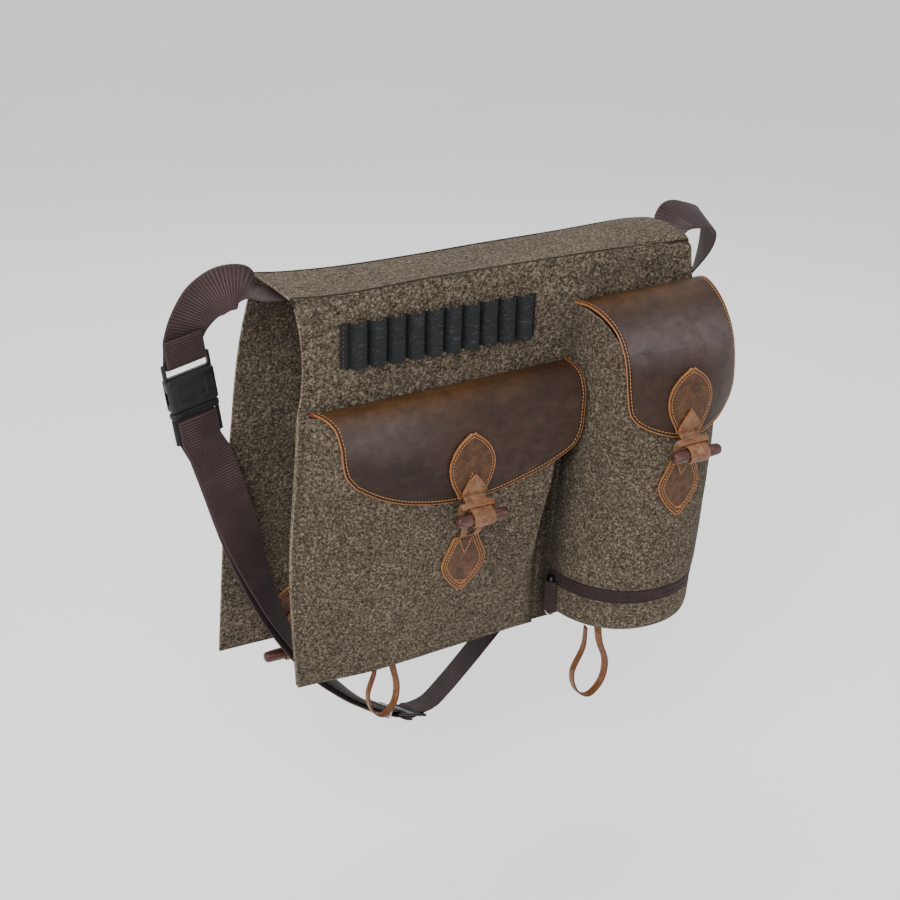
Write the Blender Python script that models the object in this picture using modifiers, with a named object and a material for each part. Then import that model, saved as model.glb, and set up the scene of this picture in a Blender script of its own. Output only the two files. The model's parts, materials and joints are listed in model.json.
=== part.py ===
"""Hunting bag of felt and leather in two halves, held up under the saddle that joins them.

Metres, +Z up. The front looks along -Y, and X runs along the saddle.
The origin is the middle of the saddle's underside. Tables and surfaces are in millimetres.
"""
import math

import bmesh
import bpy
from mathutils import Matrix, Vector

MM = 0.001
GAP = 0.35

# Felt body
SADDLE_LENGTH = 400.0
SADDLE_WIDTH = 81.0
FELT = 3.0
FRONT_LENGTH = 360.0
BACK_LENGTH = 373.0
HALF_LENGTH = SADDLE_LENGTH / 2
HALF_WIDTH = SADDLE_WIDTH / 2
BULGE_GROWTH = 1.5

# Rise of the front and back seams along the saddle: x, height
FRONT_SEAM = [(-200, 0.0), (-165, -2.5), (-120, -2.0), (-70, 0.0), (60, 1.0), (200, 0.0)]
BACK_SEAM = [(-200, 0.0), (-170, -3.0), (-120, -5.0), (-50, -4.5), (20, -2.5), (100, -1.0), (180, 1.5),
             (200, 0.0)]
# Height of the saddle's arch between the seams: x, height
SADDLE_ARCH = [(-200, 0.0), (40, 0.0), (120, 2.0), (200, 6.0)]
# Side edges of the two panels below the seam: drop, x
FRONT_LEFT_EDGE = [(0, -200), (30, -194), (60, -191.5), (85, -193), (106, -197), (140, -199), (233, -206),
                   (300, -205), (360, -202)]
FRONT_RIGHT_EDGE = [(0, 200), (20, 202), (43, 205.5), (77, 208.5), (113, 211.5), (173, 212.5), (288, 209.5),
                    (315, 206.5), (360, 205)]
BACK_LEFT_EDGE = [(0, -200), (40, -205), (100, -211), (140, -214.5), (255, -225), (373, -232)]
BACK_RIGHT_EDGE = [(0, 200), (140, 205), (373, 212)]
# Forward bulge of the front panel's lower edge: x, depth
FRONT_BULGE = [(-206, 0.0), (-181, 1.5), (-135, 6.0), (-97, 5.0), (-33, 1.0), (54, -3.0), (200, -3.0)]
# How far the back panel stands off behind its seam: drop, distance
BACK_STANDOFF = [(0, 0.0), (20, 3.0), (60, 14.0), (90, 19.0), (140, 22.0), (250, 25.0), (373, 27.0)]

# Flat pocket: height z against the edge x and the depth in front of the panel
POCKET_RIGHT_EDGE = [(-357, 45), (-288, 46), (-236, 50), (-194, 57), (-100, 60)]
POCKET_DEPTH = [(-357, 0.0), (-345, 1.0), (-310, 8.0), (-260, 17.0), (-200, 24.0), (-150, 26.0), (-100, 26.0)]
# Its shoulder under the flap: drop below the flap's sewn line, depth
POCKET_SHOULDER = [(5, 7.8), (8, 12.6), (11, 17.0), (17, 21.6), (24, 24.8), (34, 26.4)]
POCKET_MOUTH_DROP = 5.0
POCKET_LEFT_ROLL = 34.0
POCKET_RIGHT_ROLL = 13.0
# Flat margins by which the pocket is sewn on at its left and right
POCKET_LEFT_MARGIN = 4.0
POCKET_RIGHT_MARGIN = 3.0
EDGE_CROWDING = 0.1
POCKET_ROW_CROWDING = 1.8

# Flat flap: shoulder from the panel over the pocket's mouth, and its edges
LEATHER = 2.0
FLAP_TOP_LEFT = -98.5
FLAP_TOP_RIGHT = -90.5
# fraction of the flap's length, reach in front of the panel as a share, drop
FLAP_SHOULDER = [(0.0, 0.0, 0.0), (0.10, 0.16, 1.0), (0.20, 0.46, 2.5), (0.32, 0.80, 8.5), (0.45, 1.0, 22.0)]
SHOULDER_END = 0.45
FULL_DEPTH_BELOW = -150.0
FLAP_LEFT_EDGE = [(0.0, -184), (0.2, -178), (0.32, -175), (0.45, -173), (0.8, -169), (1.0, -158)]
FLAP_RIGHT_EDGE = [(0.0, 69), (0.3, 70), (0.6, 70), (0.85, 68), (1.0, 60)]
FLAP_LOWER_EDGE = [(-158, -162), (-131, -177), (-101, -187), (-62, -193), (-22, -192), (10, -185), (34, -178),
                   (60, -166)]

# Round pocket: height z against left seam, right seam, depth and squareness of the section
ROUND_SECTIONS = [(-345, 63, 204, 80, 2.2), (-312, 63, 205, 82, 2.2), (-285, 64, 208, 84, 2.2),
                  (-170, 70, 211, 86, 2.3), (-110, 73, 210, 86, 2.15), (-74, 73, 207, 84, 2.0),
                  (-40, 73, 204, 82, 1.9)]
# Its upper edge, low in front and rising to the panel: share of the way round, z
ROUND_RIM = [(0.0, -40.2), (0.08, -41.6), (0.16, -50.5), (0.25, -73.5), (0.33, -88), (0.42, -96.5),
             (0.58, -97.5), (0.68, -90), (0.76, -74), (0.84, -50), (0.92, -37.5), (1.0, -37.5)]
ZIP_MIDDLE = -309.8
ZIP_HEIGHT = 13.4
SLIDER_LEVEL = -312.0
ZIP_TAPE = 1.6
ZIP_INSET = 0.7
# Slider at the zip's left end, with a flat pull that hangs from it, turned about Z
SLIDER_PLACE = (60.2, -47.0, SLIDER_LEVEL)
SLIDER_SIZE = (5.0, 7.0, 9.0)
PULL_PLACE = (58.7, -50.0, SLIDER_LEVEL)
PULL_TURN = math.radians(-56.8)
PULL_SIZE = (12.0, 1.8, 31.0)
PULL_DROP = 16.5
BASE_BOTTOM = -348.4
# Rounding of the base towards its floor: share of the section kept, drop from the zip
BASE_ROWS = [(1.0, 0.0), (1.0, 15.0), (0.985, 24.4), (0.95, 29.6), (0.88, 31.5), (0.4, 31.5)]

# Round flap, outer face: fraction of its length against x, y, z on the left, middle and right
ROUND_FLAP_LEFT = [(0.0, 72, -43.2, -37), (0.12, 76.5, -59, -37.5), (0.25, 81, -76, -43.5),
                   (0.4, 85.5, -91, -56), (0.55, 87, -103, -76), (0.75, 87, -110, -105),
                   (0.9, 89, -113.5, -124), (1.0, 96, -118, -134)]
ROUND_FLAP_MIDDLE = [(0.0, 136, -43.2, -35.5), (0.12, 140, -60, -31), (0.25, 143, -82, -36),
                     (0.4, 144, -107, -48), (0.55, 144, -126, -70), (0.75, 143, -131.4, -103),
                     (0.9, 142, -131.4, -130), (1.0, 142, -131.4, -147)]
ROUND_FLAP_RIGHT = [(0.0, 199, -43.2, -34), (0.12, 202, -60, -27), (0.25, 203, -80, -35),
                    (0.4, 203, -98, -52), (0.55, 204, -108, -74), (0.75, 204, -112.5, -106),
                    (0.9, 201, -113, -124), (1.0, 191, -117, -136)]

# Share of the round flap's length from which it lies on the pocket
FLAP_ON_POCKET = 0.5

# Leaf shaped leather tabs: share of the length from the tip, half width
UPPER_LEAF = [(0.0, 1.5), (0.12, 12.0), (0.3, 20.0), (0.5, 23.0), (0.72, 20.5), (0.9, 15.0), (1.0, 12.5)]
CATCH_LEAF = [(0.0, 12.0), (0.12, 15.0), (0.45, 22.5), (0.65, 19.5), (0.85, 11.0), (1.0, 1.5)]
UPPER_LEAF_LENGTH = 60.0
CATCH_LEAF_LENGTH = 58.0

# Toggles
TOGGLE_LENGTH = 52.0
TOGGLE_RADIUS = 5.8
TOGGLE_ROUNDING = 1.6
FLAT_TOGGLE_TILT = math.radians(1.0)
WRAP_THICK = 1.6
WRAP_WIDTH = 21.0
WRAP_TURN = 22.0
WRAP_TURNS = 14
# Part of a wrap that lies on its leaf: share of the way to the bend, half width
WRAP_END = [(0.0, 1.5), (0.35, 7.5), (0.7, 12.5), (1.0, 11.0)]
NECK_ANGLE = 62.0
NECK_RISE = 7.0
LOOP_STRIP = 6.0
LOOP_THICK = 1.6
LOOP_CLEARANCE = 2.2
# Left half of a catch loop, from its leaf to the neck's middle: x from the toggle, direction of its width
LOOP_HALF = [(-6.5, 1.0, 0.0, 0.0), (-9.5, 1.0, 0.0, 0.0), (-15.0, 0.95, -0.2, -0.2),
             (-16.0, 0.4, -0.8, -0.4)]
LOOP_ACROSS = (-9.5, 0.0)
FLAT_LEAF_X = -47.5
FLAT_LEAF_TIP = -130.0
FLAT_TOGGLE = (-45.5, -90.0, -203.5)
FLAT_CATCH_TOP = -231.0
ROUND_LEAF_X = 140.5
ROUND_LEAF_TIP = -82.0
ROUND_TOGGLE = (139.5, -147.0, -157.0)
ROUND_CATCH_TOP = -168.0
BACK_LEAF_LEFT_X = -160.0
BACK_LEAF_RIGHT_X = 85.0
BACK_LEAF_TOP = -318.0
BACK_LEAF_LENGTH = 50.0
BACK_TOGGLE_Z = -383.0
BACK_TOGGLE_SHIFT = 5.0
FLAT_WRAP_START = -168.0
ROUND_WRAP_START = -120.0
BACK_WRAP_DROP = 26.0

# Hanging loops
HANGING_STRIP = 7.5
HANGING_THICK = 1.8
HANGING_NECK = 7.0
# Teardrop between the two ends: share of its half width, share of its length
TEARDROP = [(-1.0, 0.6), (-0.72, 0.88), (0.0, 1.0), (0.78, 0.86), (1.0, 0.6)]
LOOP_LEFT_X = -114.0
LOOP_LEFT_Z = -349.0
LOOP_LEFT_SIZE = (15.5, 66.0)
LOOP_RIGHT_SIZE = (20.0, 76.0)
LOOP_RIGHT_X = 85.0
LOOP_RIGHT_Y = -85.0
LOOP_TURN_LEFT = 14.0
LOOP_TURN_RIGHT = -32.0

# Cartridge elastic
ELASTIC_LEFT = -159.0
ELASTIC_RIGHT = 31.0
ELASTIC_TOP = -24.0
ELASTIC_HEIGHT = 39.0
ELASTIC_THICK = 1.2
ELASTIC_TAB = 7.0
ELASTIC_END = 2.5
LOOP_COUNT = 10
# One loop: share of its width, bulge
LOOP_PROFILE = [(0.0, 0.0), (0.07, 0.0), (0.16, 3.6), (0.29, 6.2), (0.5, 7.4), (0.71, 6.2), (0.84, 3.6),
                (0.93, 0.0)]

# Webbing
WEB_WIDTH = 38.0
WEB_THICK = 1.8
# Middle line and width direction, from the inner to the outer edge: x, y, z, then the direction
STRAP_LEFT = [(-178, -1, -5.4, 0.0, 1.0, 0.0), (-201, 4, -5.4, 0.0, 1.0, 0.0),
              (-210, 7.5, -4.6, 0.0, 0.99, 0.1), (-220, 14, 0.3, -0.12, 0.74, 0.66),
              (-232, 24, -2.5, -0.3, 0.5, 0.82), (-242, 32, -11, -0.55, 0.35, 0.75),
              (-249, 39.5, -21.5, -0.8, 0.12, 0.53), (-256.5, 44.5, -36, -0.93, -0.04, 0.25),
              (-262.3, 47.3, -53, -0.975, -0.137, -0.1)]
# The long part, from the saddle's right end to the adjuster
STRAP_RIGHT = [(178, -1, -0.8, 0.0, 1.0, 0.0), (205, 4, -0.8, 0.0, 1.0, 0.0),
               (213, 7.5, 2.0, 0.0, 0.95, 0.3), (225, 15, 8.0, 0.05, 0.84, 0.54),
               (243, 16.7, 6.0, 0.1, 0.88, 0.45), (260, 18, 1.0, 0.2, 0.93, 0.3),
               (270, 24, -12, 0.25, 0.95, 0.15), (273, 31, -32, 0.4, 0.9, 0.1), (266, 38, -60, 0.7, 0.7, 0.0),
               (247, 44, -100, 0.92, 0.3, -0.15), (216, 46, -160, 0.92, 0.2, -0.35),
               (172, 42, -232, 0.72, 0.55, -0.4), (120, 32, -305, 0.35, 0.9, -0.25),
               (70, 20, -357, 0.14, 0.97, -0.17), (20, 12, -400, 0.14, 0.97, -0.2),
               (-12, 10, -429, 0.1, 0.96, -0.25), (-33, 10, -447.5, 0.05, 0.955, -0.29),
               (-43, 10, -452.5, 0.0, 0.955, -0.29)]
# From the slide ring up to the buckle
STRAP_MIDDLE = [(-94, 10, -442.2, 0.0, 0.955, -0.29), (-110, 12, -430.5, 0.0, 0.97, -0.2),
                (-135, 15, -407, 0.05, 0.99, 0.0), (-164, 22, -374, 0.2, 0.97, 0.05),
                (-188, 29, -328, 0.5, 0.84, 0.12), (-206, 33, -280, 0.76, 0.6, 0.2),
                (-221.5, 37.5, -227, 0.94, 0.1, 0.28), (-234.5, 41.5, -181, 0.955, -0.02, 0.28),
                (-242.2, 44.2, -156, 0.97, 0.07, 0.2)]
# Space between the two layers, and how much further the lower one sags half way
LAYER_SPACE = 1.4
LAYER_SAG = 4.0

# Side release buckle: its place, turn about Z and tilt about its own Y
BUCKLE_PLACE = (-255.5, 45.0, -103.0)
BUCKLE_TURN = math.radians(8.0)
BUCKLE_TILT = math.radians(-9.0)
BUCKLE_WIDTH = 46.0
BUCKLE_DEPTH = 11.5
BUCKLE_SLOT = 39.6
SOCKET_LENGTH = 31.0
SOCKET_MIDDLE = 9.5
SOCKET_ROUNDING = 2.5
HOLLOW_SIZE = (40.0, 6.6, 40.0)
HOLLOW_MIDDLE = 3.0
WINDOW_SIZE = (56.0, 5.0, 12.0)
WINDOW_MIDDLE = 8.0
BAR_HALF = 1.7
SOCKET_BAR = 36.8
BAR_ROOT = 23.0
SOCKET_SLOT_LOW = 26.0
SLOT_DEPTH = 12.0
FOOT_SIZE = (46.0, 8.5, 7.0)
FOOT_MIDDLE = -10.0
FOOT_ROUNDING = 2.0
TONGUE_HALF = 1.5
PLATE_LENGTH = 26.0
PLATE_MIDDLE = -25.0
PRONGS_SIZE = (38.8, 5.4, 26.0)
PRONGS_MIDDLE = 4.0
FORK_SIZE = (9.0, 20.0, 18.0)
FORK_OFFSET = 11.0
FORK_MIDDLE = 3.0
TONGUE_SLOT_LENGTH = 4.0
TONGUE_SLOT_MIDDLE = -16.5
TONGUE_BAR = -19.0
TONGUE_END = -39.5
FOLD_STEPS = 8
SEWN_END = 22.0

# Adjuster with a middle bar between two slots, tilted along the strap and leaning to the front
ADJUSTER_PLACE = (-68.7, 10.0, -451.8)
ADJUSTER_TILT = math.radians(18.0)
ADJUSTER_LEAN = math.radians(-17.0)
ADJUSTER_SIZE = (32.0, 46.0, 2.6)
ADJUSTER_SLOT = (9.2, 40.2, 12.0)
ADJUSTER_SLOT_OFFSET = 8.2
ADJUSTER_ROUNDING = 1.0
# Middle lines of the two layers in the adjuster's frame: along, up
THROUGH_ADJUSTER = [(17.5, 3.1), (12.3, 3.05), (8.2, 0.0), (4.1, -3.05), (-4.1, -3.05), (-8.2, 0.0),
                    (-12.3, 3.05), (-17.0, 2.6)]
UNDER_ADJUSTER = [(-17.0, -2.9), (-12.7, -2.9), (-8.5, -3.9), (-3.7, -5.4), (3.0, -5.4)]
SLIDE_RING_PLACE = (-94.0, 10.0, -442.2)
SLIDE_RING_TILT = math.radians(28.0)
SLIDE_RING_SIZE = (44.6, 9.4)
SLIDE_RING_CORNER = 3.0
CORNER_STEPS = 3
WIRE_RADIUS = 1.2

COLOURS = {
    "felt": ((0.135, 0.112, 0.088), 0.95, 0.0),
    "leather": ((0.085, 0.042, 0.022), 0.5, 0.0),
    "tan_leather": ((0.26, 0.11, 0.045), 0.6, 0.0),
    "webbing": ((0.045, 0.026, 0.025), 0.8, 0.0),
    "elastic": ((0.017, 0.018, 0.018), 0.85, 0.0),
    "toggle": ((0.06, 0.018, 0.012), 0.45, 0.0),
    "plastic": ((0.012, 0.012, 0.013), 0.4, 0.0),
    "zip": ((0.035, 0.018, 0.022), 0.7, 0.0),
    "steel": ((0.5, 0.5, 0.52), 0.3, 1.0),
}


def cubic(rows, key, column=1):
    """Value of one table column at a key, on a smooth curve through the rows."""
    key = min(max(key, rows[0][0]), rows[-1][0])
    last = len(rows) - 1
    index = 0
    while index < last - 1 and key > rows[index + 1][0]:
        index += 1
    slopes = []
    for end in (index, index + 1):
        low = max(end - 1, 0)
        high = min(end + 1, last)
        slopes.append((rows[high][column] - rows[low][column]) / (rows[high][0] - rows[low][0]))
    span = rows[index + 1][0] - rows[index][0]
    t = (key - rows[index][0]) / span
    start = rows[index][column]
    stop = rows[index + 1][column]
    return ((2 * t ** 3 - 3 * t ** 2 + 1) * start + (t ** 3 - 2 * t ** 2 + t) * span * slopes[0]
            + (3 * t ** 2 - 2 * t ** 3) * stop + (t ** 3 - t ** 2) * span * slopes[1])


def ramp(distance, reach):
    """Smooth rise from 0 to 1 over a reach."""
    t = min(max(distance / reach, 0.0), 1.0)
    return t * t * (3 - 2 * t)


def mix(low, high, t):
    return low + (high - low) * t


def clear_scene():
    for item in list(bpy.data.objects):
        bpy.data.objects.remove(item, do_unlink=True)


def collection(name):
    group = bpy.data.collections.new(name)
    bpy.context.scene.collection.children.link(group)
    return group


def make_materials():
    made = {}
    for name, (colour, roughness, metallic) in COLOURS.items():
        material = bpy.data.materials.new(name)
        material.use_nodes = True
        shader = material.node_tree.nodes["Principled BSDF"]
        shader.inputs["Base Color"].default_value = (*colour, 1.0)
        shader.inputs["Roughness"].default_value = roughness
        shader.inputs["Metallic"].default_value = metallic
        material.diffuse_color = (*colour, 1.0)
        made[name] = material
    return made


def add_mesh(name, vertices, faces, material):
    """Object from points in millimetres."""
    mesh = bpy.data.meshes.new(name)
    mesh.from_pydata([tuple(value * MM for value in point) for point in vertices], [], faces)
    mesh.materials.append(MATERIALS[material])
    item = bpy.data.objects.new(name, mesh)
    BAG.objects.link(item)
    return item


def grid(point, columns, rows):
    """Points and faces of a surface point(u, v), with its outer side towards dv x du."""
    vertices = []
    for row in range(rows + 1):
        for column in range(columns + 1):
            vertices.append(point(column / columns, row / rows))
    faces = []
    for row in range(rows):
        for column in range(columns):
            corner = row * (columns + 1) + column
            faces.append((corner, corner + columns + 1, corner + columns + 2, corner + 1))
    return vertices, faces


def sheet(name, point, columns, rows, thickness, material):
    """Felt or leather: an open surface that Solidify thickens inwards."""
    vertices, faces = grid(point, columns, rows)
    item = add_mesh(name, vertices, faces, material)
    thicken(item, thickness)
    return item


def thicken(item, thickness):
    solid = item.modifiers.new("Thickness", "SOLIDIFY")
    solid.thickness = thickness * MM
    solid.offset = -1.0
    solid.use_even_offset = True


def orient(item):
    shape = bmesh.new()
    shape.from_mesh(item.data)
    bmesh.ops.recalc_face_normals(shape, faces=shape.faces)
    shape.to_mesh(item.data)
    shape.free()


def band(name, stations, thickness, material):
    """Flat strip through stations of middle point, width vector and normal.

    Where it twists, both of its broad sides are split along the same diagonal.
    """
    vertices = []
    for middle, across, normal in stations:
        half = normal * thickness / 2
        low, high = middle - half, middle + half
        vertices += [low - across, low + across, high + across, high - across]
    end = len(vertices) - 4
    faces = [(3, 2, 1, 0), (end, end + 1, end + 2, end + 3)]
    for ring in range(0, end, 4):
        faces += [(ring, ring + 1, ring + 5), (ring, ring + 5, ring + 4),
                  (ring + 3, ring + 6, ring + 2), (ring + 3, ring + 7, ring + 6),
                  (ring + 1, ring + 2, ring + 6, ring + 5), (ring + 3, ring, ring + 4, ring + 7)]
    orient(add_mesh(name, vertices, faces, material))


def samples(rows, steps):
    """Points and directions on a smooth curve through table rows."""
    keyed = [(index, *row) for index, row in enumerate(rows)]
    count = (len(rows) - 1) * steps
    return [[cubic(keyed, index / steps, column) for column in range(1, 7)] for index in range(count + 1)]


def stations_of(rows, width):
    """Stations of a strip from rows of point and width direction."""
    stations = []
    for index, values in enumerate(rows):
        before = Vector(rows[max(index - 1, 0)][:3])
        behind = Vector(rows[min(index + 1, len(rows) - 1)][:3])
        travel = (behind - before).normalized()
        across = Vector(values[3:])
        across = (across - travel * across.dot(travel)).normalized()
        stations.append((Vector(values[:3]), across * width / 2, across.cross(travel)))
    return stations


def strip_stations(rows, steps, width):
    return stations_of(samples(rows, steps), width)


def shift(stations, distance, sag=0.0):
    """Stations moved along their normals, further in the middle by the sag."""
    last = len(stations) - 1
    moved = []
    for index, (middle, across, normal) in enumerate(stations):
        moved.append((middle + normal * (distance + sag * math.sin(math.pi * index / last)), across, normal))
    return moved


def cut(item, cutter):
    difference = item.modifiers.new("Cut", "BOOLEAN")
    difference.operation = "DIFFERENCE"
    difference.solver = "EXACT"
    difference.object = cutter


def block(name, size, centre, frame, material):
    """Box of a size at a place in a frame, all in millimetres."""
    bpy.ops.mesh.primitive_cube_add(size=1.0)
    item = bpy.context.active_object
    item.name = name
    item.data.name = name
    item.data.transform(Matrix.Diagonal((size[0] * MM, size[1] * MM, size[2] * MM, 1.0)))
    item.data.transform(Matrix.Translation(Vector(centre) * MM))
    item.matrix_world = frame
    for owner in list(item.users_collection):
        owner.objects.unlink(item)
    if material:
        BAG.objects.link(item)
        item.data.materials.append(MATERIALS[material])
    else:
        CUTTERS.objects.link(item)
        item.hide_render = True
        item.display_type = "WIRE"
    return item


def joined(base, extras, cutters):
    """Make one body of the base and the extras that overlap it, less the cutters."""
    for extra in extras:
        union = base.modifiers.new("Join", "BOOLEAN")
        union.operation = "UNION"
        union.solver = "EXACT"
        union.object = extra
    for cutter in cutters:
        cut(base, cutter)


def bevel(item, width, segments=1):
    rounded = item.modifiers.new("Round", "BEVEL")
    rounded.width = width * MM
    rounded.segments = segments
    rounded.limit_method = "ANGLE"


# Felt body

def front_face(x, z):
    """Y of the front panel's outer face."""
    drop = min(max(-z / FRONT_LENGTH, 0.0), 1.0)
    return -HALF_WIDTH - cubic(FRONT_BULGE, x) * drop ** BULGE_GROWTH


def saddle_top():
    reach = HALF_WIDTH - FELT - GAP

    def point(u, v):
        x = mix(-HALF_LENGTH, HALF_LENGTH, u)
        y = mix(reach, -reach, v)
        seams = mix(cubic(BACK_SEAM, x), cubic(FRONT_SEAM, x), v)
        rise = cubic(SADDLE_ARCH, x) * (1 - (y / HALF_WIDTH) ** 2)
        return x, y, FELT + seams + rise

    sheet("saddle_top", point, 18, 4, FELT, "felt")


def front_panel():
    def point(u, v):
        drop = FRONT_LENGTH * v
        x = mix(cubic(FRONT_LEFT_EDGE, drop), cubic(FRONT_RIGHT_EDGE, drop), u)
        z = FELT + cubic(FRONT_SEAM, x) * (1 - v) - drop
        return x, front_face(x, z), z

    sheet("front_panel", point, 12, 10, FELT, "felt")


def back_face(drop):
    return HALF_WIDTH + cubic(BACK_STANDOFF, drop)


def back_panel():
    def point(u, v):
        drop = BACK_LENGTH * v
        x = mix(cubic(BACK_RIGHT_EDGE, drop), cubic(BACK_LEFT_EDGE, drop), u)
        z = FELT + cubic(BACK_SEAM, x) * (1 - v) - drop
        return x, back_face(drop), z

    sheet("back_panel", point, 7, 10, FELT, "felt")


# Flat pocket and its flap

def flap_line(x):
    """Height of the flat flap's sewn line."""
    left = FLAP_LEFT_EDGE[0][1]
    right = FLAP_RIGHT_EDGE[0][1]
    return mix(FLAP_TOP_LEFT, FLAP_TOP_RIGHT, (x - left) / (right - left))


def pocket_face(x, z):
    """Y of the flat pocket's outer face."""
    left = cubic(FRONT_LEFT_EDGE, -z)
    right = cubic(POCKET_RIGHT_EDGE, z)
    roll = min(ramp(x - left - POCKET_LEFT_MARGIN, POCKET_LEFT_ROLL),
               ramp(right - x - POCKET_RIGHT_MARGIN, POCKET_RIGHT_ROLL))
    depth = min(cubic(POCKET_DEPTH, z), cubic(POCKET_SHOULDER, flap_line(x) - z))
    return front_face(x, z) - FELT - GAP - depth * roll


def flat_pocket():
    bottom = FELT - FRONT_LENGTH

    def point(u, v):
        eased = u - EDGE_CROWDING * math.sin(2 * math.pi * u)
        z = mix(mix(FLAP_TOP_LEFT, FLAP_TOP_RIGHT, u) - POCKET_MOUTH_DROP, bottom, v ** POCKET_ROW_CROWDING)
        left = cubic(FRONT_LEFT_EDGE, FELT - z)
        x = mix(left, cubic(POCKET_RIGHT_EDGE, z), eased)
        return x, pocket_face(x, z), z

    sheet("flat_pocket", point, 18, 11, FELT, "felt")


def flap_point(u, v):
    """Outer face of the flat flap."""
    x = mix(cubic(FLAP_LEFT_EDGE, v), cubic(FLAP_RIGHT_EDGE, v), u)
    top = mix(FLAP_TOP_LEFT, FLAP_TOP_RIGHT, u)
    shoulder = min(v, SHOULDER_END)
    share = cubic(FLAP_SHOULDER, shoulder, 1)
    z = top - cubic(FLAP_SHOULDER, shoulder, 2)
    if v > SHOULDER_END:
        below = (v - SHOULDER_END) / (1 - SHOULDER_END)
        z = mix(z, cubic(FLAP_LOWER_EDGE, x), below)
    at_panel = front_face(x, z) - LEATHER - GAP
    at_pocket = flap_front(x, z)
    return x, mix(at_panel, at_pocket, share), z


def flap_front(x, z):
    """Y of the flap's outer face where it lies on the pocket."""
    return front_face(x, z) - FELT - cubic(POCKET_DEPTH, min(z, FULL_DEPTH_BELOW)) - LEATHER - 3 * GAP


def flat_flap():
    sheet("flat_flap", flap_point, 15, 14, LEATHER, "leather")


# Round pocket with its zip, base and flap

def round_point(t, z, inset=0.0, share=1.0):
    """Point on the round pocket's outer face: t runs from the left seam to the right one."""
    left = cubic(ROUND_SECTIONS, z, 1)
    right = cubic(ROUND_SECTIONS, z, 2)
    depth = cubic(ROUND_SECTIONS, z, 3)
    power = 2 / cubic(ROUND_SECTIONS, z, 4)
    middle = (left + right) / 2
    half = (right - left) / 2 - inset
    angle = math.pi * (1 - t)
    across = math.copysign(abs(math.cos(angle)) ** power, math.cos(angle))
    x = middle + half * share * across
    wall = front_face(x, z) - GAP
    y = wall - (depth - inset) * share * abs(math.sin(angle)) ** power
    return x, y, z


def round_pocket():
    bottom = ZIP_MIDDLE + ZIP_HEIGHT / 2 + GAP

    def point(u, v):
        return round_point(u, mix(cubic(ROUND_RIM, u), bottom, v))

    sheet("round_pocket", point, 24, 7, FELT, "felt")


def zip_tape():
    top = ZIP_MIDDLE + ZIP_HEIGHT / 2

    def point(u, v):
        return round_point(u, top - ZIP_HEIGHT * v, inset=ZIP_INSET)

    sheet("zip_tape", point, 22, 1, ZIP_TAPE, "zip")


def round_base():
    """Bowl below the zip: its rows come in under the floor, and one face closes the rest."""
    top = ZIP_MIDDLE - ZIP_HEIGHT / 2 - GAP
    columns = 22
    vertices = []
    for share, drop in BASE_ROWS:
        for column in range(columns + 1):
            vertices.append(round_point(column / columns, top - drop, share=share))
    faces = []
    for row in range(len(BASE_ROWS) - 1):
        for column in range(columns):
            corner = row * (columns + 1) + column
            faces.append((corner, corner + columns + 1, corner + columns + 2, corner + 1))
    start = (len(BASE_ROWS) - 1) * (columns + 1)
    faces.append(tuple(range(start, start + columns + 1))[::-1])
    item = add_mesh("round_base", vertices, faces, "felt")
    orient_like_grid(item)
    thicken(item, FELT)


def orient_like_grid(item):
    """Make all faces agree with the first one."""
    shape = bmesh.new()
    shape.from_mesh(item.data)
    shape.faces.ensure_lookup_table()
    want = shape.faces[0].normal.copy()
    bmesh.ops.recalc_face_normals(shape, faces=shape.faces)
    shape.faces.ensure_lookup_table()
    if shape.faces[0].normal.dot(want) < 0:
        bmesh.ops.reverse_faces(shape, faces=shape.faces)
    shape.to_mesh(item.data)
    shape.free()


def round_flap_point(u, v):
    """Outer face of the round flap: a parabola through its three lines, clear of the pocket."""
    weights = (2 * (u - 0.5) * (u - 1), 4 * u * (1 - u), 2 * u * (u - 0.5))
    tables = (ROUND_FLAP_LEFT, ROUND_FLAP_MIDDLE, ROUND_FLAP_RIGHT)
    x, y, z = (sum(weight * cubic(table, v, axis) for weight, table in zip(weights, tables))
               for axis in (1, 2, 3))
    if v > FLAP_ON_POCKET:
        y = min(y, on_round_pocket(x, z) - LEATHER - 2 * GAP)
    return x, y, z


def round_flap():
    sheet("round_flap", round_flap_point, 12, 15, LEATHER, "leather")


def zip_puller():
    """Slider with its pull, at the zip's left end."""
    body = block("zip_puller", SLIDER_SIZE, (0, 0, 0), Matrix.Translation(Vector(SLIDER_PLACE) * MM), "steel")
    turned = Matrix.Translation(Vector(PULL_PLACE) * MM) @ Matrix.Rotation(PULL_TURN, 4, "Z")
    pull = block("zip_pull_tape", PULL_SIZE, (0, 0, -PULL_DROP), turned, None)
    joined(body, [pull], [])


# Leather tabs and toggles

def halved(value, target):
    """Key from 0 to 1 at which a falling value meets its target."""
    low, high = 0.0, 1.0
    for _ in range(20):
        middle = (low + high) / 2
        if value(middle) > target:
            low = middle
        else:
            high = middle
    return low


def on_round_flap(x, z):
    """Y of the round flap's outer face at a place on its front."""
    u = 0.5
    for _ in range(4):
        v = halved(lambda key: round_flap_point(u, key)[2], z)
        u = halved(lambda key: -round_flap_point(key, v)[0], -x)
    return round_flap_point(u, v)[1]


def on_round_pocket(x, z):
    """Y of the round pocket's outer face at an x."""
    left = cubic(ROUND_SECTIONS, z, 1)
    right = cubic(ROUND_SECTIONS, z, 2)
    share = abs(2 * (x - left) / (right - left) - 1)
    square = cubic(ROUND_SECTIONS, z, 4)
    return front_face(x, z) - GAP - cubic(ROUND_SECTIONS, z, 3) * (1 - share ** square) ** (1 / square)


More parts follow.
